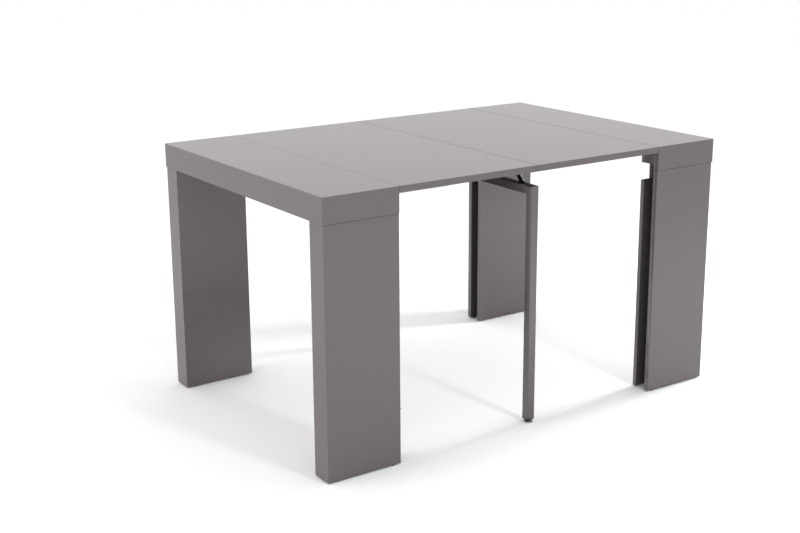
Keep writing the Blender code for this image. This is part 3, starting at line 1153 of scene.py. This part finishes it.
@dataclass
class Bench:
    """The loaded frame, and the way that finished pieces are handed to it."""

    frame: dict[str, object]

    def hand_over(
        self, piece: Piece, finish: Finish, stands_for: Sequence[str] = (), beside: str = ""
    ) -> None:
        """Make a piece ride on the body it belongs to.

        Args:
            piece: The finished piece.
            finish: The piece's finish; not used.
            stands_for: The nodes that it replaces, all on one body.
            beside: A node of its body, where it replaces none.
        """
        body = self.frame["nodes"][beside or stands_for[0]]["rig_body"]
        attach(piece, body)
        if stands_for:
            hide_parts(*stands_for)
        LOG.info("%s: %d faces, on %s", piece.name, len(piece.data.polygons), body)

    def copy_of(self, node: str) -> Piece:
        """Copy a node's solid, with its triangles joined into flat sides.

        Args:
            node: The node's name.

        Returns:
            The copy.
        """
        bm = bmesh.new()
        bm.from_mesh(self.frame["nodes"][node].data)
        bmesh.ops.remove_doubles(bm, verts=bm.verts, dist=WELD)
        bmesh.ops.dissolve_limit(bm, angle_limit=FLAT_ANGLE, verts=bm.verts, edges=bm.edges)
        return new_object(f"{node}_blank", mesh_from(node, bm))


@dataclass
class EndUnit:
    """One end of the table: its cap and its two channel legs.

    Attributes:
        bench: Where the pieces go.
        end: Which end it is.
        notch_depth: How far the inner panel is notched in from its open edge.
        notch_below: How far the notch reaches under the frame's crossbar.
        shadow_gap: How far the legs' outer sides stop below the cap.
        strip_thickness: The thickness of the strips behind that gap.
        strip_reach: How far they reach above and below it.
        strip_edge: The radius of their edges.
        glide_crown: The width of a glide's sole, as a share of the glide's.
        pin_height: The height of the closing pins or of the holes for them.
        pin_ease: How far the pins' ends are rounded.
        hole_diameter: The holes' diameter.
        hole_depth: The holes' depth in the right legs.
    """

    bench: Bench
    end: End
    notch_depth: float = 0.033
    notch_below: float = 0.019
    shadow_gap: float = 0.0009
    strip_thickness: float = 0.0018
    strip_reach: float = 0.012
    strip_edge: float = 0.000225
    glide_crown: float = 0.88
    pin_height: float = 0.151
    pin_ease: float = 0.0011
    hole_diameter: float = 0.0056
    hole_depth: float = 0.009

    @property
    def inward(self) -> int:
        """Return the sign of the way from this end to the table's middle, along X."""
        return -self.end.value

    def build(self) -> None:
        """Build the cap, the legs, their glides and the left legs' pins."""
        self.build_cap()
        for side in Side:
            self.build_leg(side)
        self.build_glides()
        if self.end is End.LEFT:
            for side in Side:
                self.build_pin(side)

    def inner_span(self, board: Box, mouth: Box) -> list[float]:
        """Return the X limits from an end board's inner face to the open mouth, the lower first."""
        return sorted(box.side(X, self.inward) for box in (board, mouth))

    def build_cap(self) -> None:
        """Build the top and its three aprons as one lacquered cap."""
        boards = ("top_panel", "end_apron", "front_apron", "back_apron")
        nodes = [f"{self.end.label}_{board}" for board in boards]
        top, end_apron, front, back = (Box.of(node) for node in nodes)
        aprons = [apron.stretched(Z, high=top.low.z) for apron in (end_apron, front, back)]
        levels = (front.low.z, top.low.z)
        hollow = Box.spanning(self.inner_span(end_apron, top), front.between(back, Y), levels)
        # The cap's hollow takes the darker back coat: partly a matt back coat, partly painted shade.
        cap = Carcass(f"{self.end.label}_cap", [top, *aprons], hollows=[hollow])
        self.bench.hand_over(cap.build(), LACQUER, nodes)

    def build_leg(self, side: Side) -> None:
        """Build a leg's three panels as one lacquered channel, and what is at its head.

        Args:
            side: The long side that the leg is on.
        """
        leg = f"{self.end.label}_{side.label}_leg"
        nodes = [f"{leg}_{panel}_panel" for panel in ("outer", "end", "inner")]
        outer, end_panel, inner = (Box.of(node) for node in nodes)
        block = Box.of(f"{leg}_head_block")
        span = self.inner_span(end_panel, outer)
        inner = inner.stretched(X, *span)
        channel = Box.spanning(span, outer.between(inner, Y), (outer.low.z, inner.high.z))
        level = outer.high.z - self.shadow_gap
        outer, end_panel = (box.stretched(Z, high=level) for box in (outer, end_panel))
        notch = inner.stretched(Z, Box.of("frame_crossbar").low.z - self.notch_below, block.low.z)
        notch = notch.slab(X, self.inward, self.notch_depth)
        # The channel and notch walls take the dark coat: painted shade in these hollows.
        shell = Carcass(leg, [outer, end_panel, inner], [notch], [channel, notch], inside=SHADE_COAT)
        if self.end is End.RIGHT:
            mouth = Vector((outer.side(X, self.inward), outer.middle.y, self.pin_height))
            shell.bores.append(Bore(mouth, self.hole_diameter, self.hole_depth))
        self.bench.hand_over(shell.build(), LACQUER, nodes)

        # The strips behind the shadow gap take the dark coat: painted shade that keeps the gap dark.
        behind = channel.stretched(Z, level - self.strip_reach, level + self.strip_reach)
        ways = {Y: side.value, X: self.end.value}
        slabs = [behind.slab(axis, way, self.strip_thickness) for axis, way in ways.items()]
        strips = Carcass(f"{leg}_gap_strips", slabs, outside=SHADE_COAT, edge_radius=self.strip_edge)
        self.bench.hand_over(strips.build(), SHADE_COAT, beside=nodes[0])
        # The head block takes the darkened taupe: painted shade under the leaf.
        head = Carcass(f"{leg}_head", [block], outside=SHADED_BLOCK_COAT)
        self.bench.hand_over(head.build(), SHADED_BLOCK_COAT, [f"{leg}_head_block"])

    def build_glides(self) -> None:
        """Build the end's four glides as one piece."""
        places = itertools.product(Side, ("mouth", "end"))
        nodes = [f"{self.end.label}_{side.label}_leg_{place}_glide" for side, place in places]
        boxes = [Box.of(node) for node in nodes]
        seats = [(*box.middle.xy, box.high.z) for box in boxes]
        radius = boxes[0].size(Y) / 2
        sizes = {"radius": radius, "crown": self.glide_crown * radius, "height": boxes[0].size(Z)}
        glides = Studs(BLACK_PLASTIC, Facing.DOWN, **sizes).grow(f"{self.end.label}_glides", seats)
        self.bench.hand_over(glides, BLACK_PLASTIC, nodes)

    def build_pin(self, side: Side) -> None:
        """Turn the closing pin of one of the left legs.

        Args:
            side: The long side that the leg is on.
        """
        node = f"{self.end.label}_{side.label}_closing_pin"
        box = Box.of(node)
        radius = box.size(Y) / 2
        length = box.size(X)
        profile = [(0.0, length), (radius, length), (radius, 0.0), (0.0, 0.0)]
        seat = Vector((box.low.x, *box.middle.yz))
        place = Matrix.Translation(seat) @ Matrix.Rotation(math.pi / 2, 4, "Y")
        pin = turned(f"{node}_dowel", profile, self.pin_ease, place)
        self.bench.hand_over(paint(pin, BRIGHT_STEEL), BRIGHT_STEEL, [node])


@dataclass
class Leaf:
    """One drop-in leaf with its two battens.

    Attributes:
        bench: Where the pieces go.
        number: Which leaf it is, from the left.
        batten_edge: The radius of the battens' edges.
        screw_count: How many screws hold a batten.
        screw_inset: How far the outer ones are from its ends.
    """

    bench: Bench
    number: int
    batten_edge: float = 0.0015
    screw_count: int = 4
    screw_inset: float = 0.035

    def build(self) -> None:
        """Build the leaf's board, its battens and their screws."""
        leaf = f"leaf_{self.number}"
        node = f"{leaf}_panel"
        board = Box.of(node)
        underneath = board.stretched(Z, low=0.0, high=board.low.z)
        # The leaf's underside takes the darker back coat: partly a matt back coat, partly painted shade.
        skin = Carcass(f"{leaf}_board", [board], hollows=[underneath])
        self.bench.hand_over(skin.build(), LACQUER, [node])
        seats = []
        for side in Side:
            batten_node = f"{leaf}_{side.label}_batten"
            batten = Box.of(batten_node)
            wood = Carcass(f"{batten_node}_wood", [batten], outside=BEECH, edge_radius=self.batten_edge)
            self.bench.hand_over(wood.build(), BEECH, [batten_node])
            pitch = (batten.size(X) - 2 * self.screw_inset) / (self.screw_count - 1)
            for i in range(self.screw_count):
                x = batten.low.x + self.screw_inset + pitch * i
                seats.append((x, batten.middle.y, batten.low.z))
        screws = Screws(BRIGHT_STEEL, Facing.DOWN, seed=self.number).grow(f"{leaf}_screws", seats)
        self.bench.hand_over(screws, BRIGHT_STEEL, beside=node)


@dataclass
class SlideRun:
    """The telescopic slide under one long side: nested bars with end caps, screws and stop rivets.

    Attributes:
        bench: Where the pieces go.
        side: Which side it is on.
        stages: How many bars it has, from the left end to the right.
        bar_width: A bar's width without its tongue.
        edge_radius: The radius of a bar's edges.
        screw_insets: How far the fixing screws are from the outer bars' closed ends.
        rivet_inset: How far the stop rivets are from the inner bars' ends.
    """

    bench: Bench
    side: Side
    stages: int = 5
    bar_width: float = 0.0125
    edge_radius: float = 0.0003
    screw_insets: Pair = (0.035, 0.155)
    rivet_inset: float = 0.016

    def build(self) -> None:
        """Build the bars and their fasteners."""
        for stage in range(1, self.stages + 1):
            node = f"{self.side.label}_slide_stage_{stage}"
            bar = eased(self.bench.copy_of(node), f"{node}_bar", self.edge_radius, steps=2)
            paint(bar, ALUMINIUM, BLACK_PLASTIC, lambda face: abs(face.normal.x) > SQUARE_ON)
            self.bench.hand_over(bar, ALUMINIUM, [node])
            self.build_fasteners(node, stage)

    def build_fasteners(self, node: str, stage: int) -> None:
        """Build the screws of an outer bar or the rivets of an inner one, on its underside.

        Args:
            node: The bar's node.
            stage: The bar's number.
        """
        box = Box.of(node)
        y = box.side(Y, self.side.value) - self.side.value * self.bar_width / 2
        fasteners: Pattern = Screws(BRIGHT_STEEL, Facing.DOWN, seed=stage)
        if stage == 1:
            places = [box.low.x + inset for inset in self.screw_insets]
        elif stage == self.stages:
            places = [box.high.x - inset for inset in self.screw_insets]
        else:
            places = [box.low.x + self.rivet_inset, box.high.x - self.rivet_inset]
            fasteners = Rivets(BRIGHT_STEEL, Facing.DOWN)
        made = fasteners.grow(f"{node}_fasteners", [(x, y, box.low.z) for x in places])
        self.bench.hand_over(made, BRIGHT_STEEL, beside=node)


@dataclass
class LevellingFoot:
    """One turned foot of the centre frame, on a threaded stem.

    Attributes:
        bench: Where the pieces go.
        side: Which frame leg it is under.
        sole_height: The height of its dark rubber sole.
        sole_inset: How far the sole stands in from the rim.
        sole_lap: How far the plating laps over the sole's upper edge.
        rim_height: The height of the rim's upper edge.
        disc_height: The height of the disc at its nut.
        stem_radius: The stem's radius at the thread's root.
        thread_pitch: The rise of the thread in one turn.
        thread_runout: How far the thread stops below the stem's end.
        nut_radius: The reach of its hexagonal nut's corners.
        nut_height: The nut's height.
        nut_sides: How many sides the nut has.
        rib_count: How many grip ribs the rim has.
        rib_radius: A rib's radius.
        rib_chamfer: The chamfer at a rib's upper end.
    """

    bench: Bench
    side: Side
    sole_height: float = 0.0014
    sole_inset: float = 0.0009
    sole_lap: float = 0.0001
    rim_height: float = 0.0046
    disc_height: float = 0.006
    stem_radius: float = 0.0036
    thread_pitch: float = 0.00125
    thread_runout: float = 0.001
    nut_radius: float = 0.0068
    nut_height: float = 0.0026
    nut_sides: int = 6
    rib_count: int = 40
    rib_radius: float = 0.0005
    rib_chamfer: float = 0.0004

    @property
    def node(self) -> str:
        """Return the name of the foot's node."""
        return f"{self.side.label}_foot"

    @property
    def box(self) -> Box:
        """Return the foot's box."""
        return Box.of(self.node)

    @property
    def rim(self) -> float:
        """Return the radius of the rim between its ribs."""
        return self.box.size(X) / 2 - self.rib_radius / 2

    def around(self, count: int, radius: float, height: float) -> list[Vector]:
        """Set points on a level circle about the foot's axis.

        Args:
            count: How many points there are.
            radius: The circle's radius.
            height: The circle's height above the floor.

        Returns:
            The points.
        """
        centre = Vector((*self.box.middle.xy, height))
        angles = [math.tau * i / count for i in range(count)]
        return [centre + radius * Vector((math.cos(a), math.sin(a), 0)) for a in angles]

    def build(self) -> None:
        """Build the disc and stem, the nut, the thread and the grip ribs."""
        # The foot's disc, nut, thread and ribs take the darker plating: painted shade under the tube.
        self.build_disc()
        self.build_nut()
        length = self.box.high.z - self.disc_height - self.thread_runout
        winding = {"radius": self.stem_radius, "length": length, "turns": length / self.thread_pitch}
        seats = self.around(1, 0.0, self.disc_height)
        thread = Threads(SHADED_STEEL, **winding).grow(f"{self.node}_thread", seats)
        self.bench.hand_over(thread, SHADED_STEEL, beside=self.node)
        sizes = {"radius": self.rib_radius, "crown": self.rib_radius / 2, "chamfer": self.rib_chamfer}
        ribs = Studs(SHADED_STEEL, height=self.rim_height - self.sole_height, **sizes)
        seats = self.around(self.rib_count, self.rim, self.sole_height)
        self.bench.hand_over(ribs.grow(f"{self.node}_ribs", seats), SHADED_STEEL, beside=self.node)

    def build_disc(self) -> None:
        """Turn the sole, the disc and the stem as one piece."""
        box = self.box
        sole = self.rim - self.sole_inset
        profile = [
            (0.0, box.high.z),
            (self.stem_radius, box.high.z),
            (self.stem_radius, self.disc_height),
            (self.nut_radius, self.disc_height),
            (sole, self.rim_height),
            (self.rim, self.rim_height - self.sole_inset),
            (self.rim, self.sole_height),
            (sole, self.sole_height),
            (sole, box.low.z),
            (0.0, box.low.z),
        ]
        place = Matrix.Translation((*box.middle.xy, 0.0))
        disc = turned(f"{self.node}_disc", profile, FINE_EDGE, place)
        edge = self.sole_height - self.sole_lap
        paint(disc, SHADED_STEEL, BLACK_PLASTIC, lambda face: face.center.z < edge)
        self.bench.hand_over(disc, SHADED_STEEL, [self.node])

    def build_nut(self) -> None:
        """Build the hexagonal nut on the disc."""
        levels = (self.disc_height, self.disc_height + self.nut_height)
        loops = [self.around(self.nut_sides, self.nut_radius, level) for level in levels]
        nut = eased(lofted(f"{self.node}_nut_blank", loops), f"{self.node}_nut", FINE_EDGE, steps=2)
        self.bench.hand_over(paint(nut, SHADED_STEEL), SHADED_STEEL, beside=self.node)


@dataclass
class CentreFrame:
    """The support frame under the middle: mitred tubes, end plugs, bent hangers and bolts.

    Attributes:
        bench: Where the pieces go.
        wall: The tubes' wall.
        corner_radius: The radius of the tubes' corners.
        mitre_ease: How far the mitred ends are eased.
        plug_gap: The clearance of a plug in its tube.
        plug_flange: The thickness of a plug's flange.
        plug_edge: The radius of a plug's edges.
        strip: The thickness of a hanger's strip.
        black_share: The share of its slanted part's width that is black; the rest is bright zinc, a
            painted highlight.
        lean: How far a hanger's foot stands outside its inner edge.
        low_flange: The length of its flange on the crossbar, folded back from the foot.
        high_flange: The length of its flange under the slide.
        bend_radius: The radius of its bends, at the strip's middle.
        bolt_spread: How far its bolts stand from its middle.
        bead_pitch: The distance between the ripples of a weld.
    """

    bench: Bench
    wall: float = 0.0015
    corner_radius: float = 0.0025
    mitre_ease: float = 0.0005
    plug_gap: float = 0.0003
    plug_flange: float = 0.003
    plug_edge: float = 0.0006
    strip: float = 0.003
    black_share: float = 0.60
    lean: float = 0.032
    low_flange: float = 0.014
    high_flange: float = 0.0125
    bend_radius: float = 0.0025
    bolt_spread: float = 0.0045
    bead_pitch: float = 0.0014

    @property
    def bar(self) -> Box:
        """Return the crossbar's box."""
        return Box.of("frame_crossbar")

    @property
    def size(self) -> float:
        """Return the width of the tubes."""
        return self.bar.size(Z)

    @property
    def reach(self) -> float:
        """Return how far the legs' middle lines stand from the crossbar's middle."""
        return self.bar.high.y - self.size / 2

    def build(self) -> None:
        """Build the tubes, plugs, hangers, welds and feet."""
        self.build_tube("frame_crossbar", (Side.FRONT, None), (Side.BACK, None))
        for side in Side:
            leg = f"frame_{side.label}_leg"
            self.build_tube(leg, (side, Box.of(leg).low.z), (side, None))
            self.build_plug(side)
            self.build_hanger(side)
            self.build_weld(side)
            LevellingFoot(self.bench, side).build()

    def tube_end(self, side: Side, level: float | None, outline: Sequence[Pair]) -> list[Vector]:
        """Put a tube's outline at one of its ends.

        Args:
            side: The side of the table that the end is on.
            level: The height of a square end, or None for a mitred one.
            outline: The outline's points.

        Returns:
            The points at the end.
        """
        middle = self.bar.middle
        loop = []
        for u, v in outline:
            height = middle.z + v if level is None else level
            loop.append(Vector((middle.x + u, middle.y + side.value * (self.reach + v), height)))
        return loop

    def build_tube(self, node: str, *ends: tuple[Side, float | None]) -> None:
        """Build a square tube between two ends, with painted shade in black on the faces that look
        straight up.

        Args:
            node: The tube's node.
            *ends: The side that each end is on, and its height if it is square.
        """
        outer = rounded_square(self.size, self.corner_radius)
        inner = rounded_square(self.size - 2 * self.wall, self.corner_radius - self.wall)
        near, far = ends
        walls = ((near, outer), (far, outer), (far, inner), (near, inner))
        loops = [self.tube_end(*end, outline) for end, outline in walls]
        tube = eased(lofted(f"{node}_blank", loops, ring=True), f"{node}_tube", self.mitre_ease, steps=2)
        # Painted shade: the faces that look straight up, under the leaves, are black.
        paint(tube, FRAME_PAINT, BLACK_PLASTIC, lambda face: face.normal.z > SQUARE_ON)
        self.bench.hand_over(tube, FRAME_PAINT, [node])

    def build_plug(self, side: Side) -> None:
        """Build the plug in a leg's foot: a flange and an insert.

        Args:
            side: The side that the leg is on.
        """
        node = f"frame_{side.label}_plug"
        box = Box.of(node)
        shoulder = box.low.z + self.plug_flange
        inside = self.size - 2 * (self.wall + self.plug_gap)
        flange, insert = (rounded_square(size, self.corner_radius) for size in (self.size, inside))
        levels = ((flange, box.low.z), (flange, shoulder), (insert, shoulder), (insert, box.high.z))
        loops = [
            [Vector((box.middle.x + u, box.middle.y + v, z)) for u, v in outline] for outline, z in levels
        ]
        plug = eased(lofted(f"{node}_blank", loops), f"{node}_moulding", self.plug_edge)
        self.bench.hand_over(paint(plug, BLACK_PLASTIC), BLACK_PLASTIC, [node])

    def strip_outline(self, corners: Sequence[Pair]) -> list[Vector]:
        """Draw a bent strip from its edge.

        Args:
            corners: The ends and corners of its middle line.

        Returns:
            The points round it.
        """
        path = bent_path([Vector(corner) for corner in corners], self.bend_radius)
        neighbours = zip(path[:1] + path, path[1:] + path[-1:])
        ways = [(after - before).normalized() for before, after in neighbours]
        offsets = [Vector((-way.y, way.x)) * self.strip / 2 for way in ways]
        one_side = [point + offset for point, offset in zip(path, offsets)]
        other_side = [point - offset for point, offset in zip(path, offsets)]
        return one_side + other_side[::-1]

    def build_hanger(self, side: Side) -> None:
        """Bend a hanger's strip, black with a painted highlight in bright zinc along part of its slant,
        and set its bolts.

        Args:
            side: The side that the hanger is on.
        """
        node = f"frame_{side.label}_hanger"
        box = Box.of(node)
        inner = box.side(Y, -side.value)
        foot = inner + side.value * self.lean
        toe = foot - side.value * self.low_flange
        head = inner + side.value * self.high_flange
        low = box.low.z + self.strip / 2
        high = box.high.z - self.strip / 2
        outline = self.strip_outline(((toe, low), (foot, low), (head, high), (inner, high)))
        parting = box.low.x + self.black_share * box.size(X)
        edges = (box.low.x, parting, box.high.x)
        loops = [[Vector((x, *point)) for point in outline] for x in edges]
        strip = eased(lofted(f"{node}_blank", loops), f"{node}_strip", FINE_EDGE, steps=2)
        # The slanted face beyond the black share is bright zinc: a painted highlight.
        slant = box.stretched(X, low=parting)
        slant = slant.stretched(Z, low + self.strip, high - self.strip)
        paint(strip, BLACK_STEEL, HIGHLIGHT_ZINC, lambda face: slant.holds(face.center, WELD))
        self.bench.hand_over(strip, BLACK_STEEL, [node])

        seats = {
            Facing.UP: (toe + side.value * self.bolt_spread, box.low.z + self.strip),
            Facing.DOWN: ((inner + head) / 2, box.high.z - self.strip),
        }
        for facing, seat in seats.items():
            places = [(box.middle.x + way * self.bolt_spread, *seat) for way in (-1, 1)]
            bolts = Bolts(BLACK_STEEL, facing).grow(f"{node}_{facing.name.lower()}_bolts", places)
            self.bench.hand_over(bolts, BLACK_STEEL, beside=node)

    def build_weld(self, side: Side) -> None:
        """Lay the weld in the inside corner between the crossbar and a leg.

        Args:
            side: The side that the leg is on.
        """
        half = self.size / 2
        middle = self.bar.middle
        count = int((self.size - 2 * self.corner_radius) / self.bead_pitch)
        start = middle.x - self.bead_pitch * (count - 1) / 2
        corner = (side.value * (self.reach - half), middle.z - half)
        points = [(start + i * self.bead_pitch, *corner) for i in range(count)]
        weld = WeldBeads(FRAME_PAINT).grow(f"frame_{side.label}_weld", points)
        self.bench.hand_over(weld, FRAME_PAINT, beside="frame_crossbar")


@dataclass(frozen=True)
class SoftLamp:
    """A square lamp whose light comes from all of its face, and whose face no gloss shows.

    Attributes:
        name: The lamp's name.
        place: Where it stands.
        size: The length of its sides.
        power: Its power in watts.
        colour: The tint of its light.
        aim: What it is turned to.
    """

    name: str
    place: Triple
    size: float
    power: float
    colour: Triple = WHITE
    aim: Triple = (0.0, 0.0, 0.4)

    def build(self) -> None:
        """Add the lamp to the scene."""
        lamp = bpy.data.lights.new(self.name, "AREA")
        lamp.energy = self.power
        lamp.size = self.size
        lamp.color = self.colour
        holder = bpy.data.objects.new(self.name, lamp)
        holder.location = self.place
        holder.visible_glossy = False
        way = Vector(self.aim) - Vector(self.place)
        holder.rotation_euler = way.to_track_quat("-Z", "Y").to_euler()
        bpy.context.scene.collection.objects.link(holder)


@dataclass(frozen=True)
class Studio:
    """A pale floor, soft light and the photograph's viewpoint.

    The viewpoint's angles are in degrees, and its focal length and principal row are pixels of the
    800 by 533 photograph.

    Attributes:
        frame_width: The photograph's width in pixels.
        frame_height: Its height in pixels.
        eye: Where the camera stands.
        azimuth: The camera's turn about Z.
        elevation: How far it looks down.
        roll: How far it is tilted.
        focal_length: Its focal length.
        principal_row: The row that it looks straight at.
        sensor_width: The width of its sensor in millimetres.
        floor_size: The length of the floor's sides.
        floor_colour: The floor's colour.
        floor_roughness: The floor's roughness.
        surround_colour: The tint of the light all round.
        level_strength: The strength of that light at the horizon.
        backward_gain: How much it grows towards the back.
        upward_gain: How much it grows overhead.
        lamps: The lamps.
    """

    frame_width: float = 800.0
    frame_height: float = 533.0
    eye: Triple = (-2.2319, -3.0772, 1.4365)
    azimuth: float = -34.1558
    elevation: float = 14.576
    roll: float = -0.3999
    focal_length: float = 1302.38
    principal_row: float = 240.0
    sensor_width: float = 36.0
    floor_size: float = 120.0
    floor_colour: Triple = (0.92, 0.92, 0.92)
    floor_roughness: float = 0.9
    surround_colour: Triple = (1.0, 0.986, 0.982)
    level_strength: float = 0.745
    backward_gain: float = 0.14
    upward_gain: float = 0.53
    lamps: tuple[SoftLamp, ...] = (
        SoftLamp("front_lamp", (0.22, -3.58, 2.9), 0.4, 39.0, (0.88, 1.0, 1.10)),
        SoftLamp("right_lamp", (2.3, -0.3, 1.5), 0.4, 37.5),
        SoftLamp("left_lamp", (-4.2, 0.6, 2.2), 2.4, 39.0),
    )

    def build(self) -> None:
        """Set up the floor, the light and the camera."""
        self.build_floor()
        self.build_light()
        self.build_camera()

    def build_floor(self) -> None:
        """Lay a wide pale floor."""
        bm = bmesh.new()
        bmesh.ops.create_grid(bm, x_segments=1, y_segments=1, size=self.floor_size / 2)
        floor = new_object("floor", mesh_from("floor", bm))
        recipe = Recipe("pale_floor")
        recipe.surface(Base_Color=(*self.floor_colour, 1.0), Roughness=self.floor_roughness)
        floor.data.materials.append(recipe.material)

    def build_light(self) -> None:
        """Set the lamps, and a white surround that is brighter overhead and behind the table."""
        world = bpy.data.worlds.new("white_surround")
        world.use_nodes = True
        sheet = NodeSheet(world.node_tree)
        way = sheet.output("ShaderNodeTexCoord", "Generated")
        parts = sheet.add("ShaderNodeSeparateXYZ", {"Vector": way}).outputs
        backward = sheet.calc("MULTIPLY", parts["Y"], self.backward_gain)
        upward = sheet.calc("MULTIPLY", sheet.calc("MAXIMUM", parts["Z"], 0.0), self.upward_gain)
        strength = sheet.calc("ADD", sheet.calc("ADD", backward, upward), self.level_strength)
        surround = world.node_tree.nodes["Background"]
        sheet.feed(surround.inputs["Color"], (*self.surround_colour, 1.0))
        sheet.feed(surround.inputs["Strength"], strength)
        bpy.context.scene.world = world
        for lamp in self.lamps:
            lamp.build()

    def build_camera(self) -> None:
        """Set the camera at the photograph's viewpoint."""
        azimuth, elevation, roll = (math.radians(a) for a in (self.azimuth, self.elevation, self.roll))
        level = math.cos(elevation)
        back = Vector((math.sin(azimuth) * level, -math.cos(azimuth) * level, math.sin(elevation)))
        right = Vector((0, 0, 1)).cross(back).normalized()
        up = back.cross(right)
        turn = Matrix((right, up, back)).transposed() @ Matrix.Rotation(roll, 3, "Z")
        data = bpy.data.cameras.new("photo_camera")
        data.sensor_width = self.sensor_width
        data.lens = self.focal_length / self.frame_width * self.sensor_width
        data.shift_y = (self.principal_row - self.frame_height / 2) / self.frame_width
        camera = bpy.data.objects.new("photo_camera", data)
        camera.matrix_world = Matrix.Translation(self.eye) @ turn.to_4x4()
        bpy.context.scene.collection.objects.link(camera)
        bpy.context.scene.camera = camera
        bpy.context.scene.view_settings.view_transform = "Standard"


def main() -> None:
    """Build the table's sub-assemblies and its studio, in order."""
    logging.basicConfig(level=logging.INFO, format="%(name)s: %(message)s")
    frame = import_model()
    bench = Bench(frame)
    Studio().build()
    for end in End:
        EndUnit(bench, end).build()
    for number in (1, 2):
        Leaf(bench, number).build()
    for side in Side:
        SlideRun(bench, side).build()
    CentreFrame(bench).build()


if __name__ == "__main__":
    main()
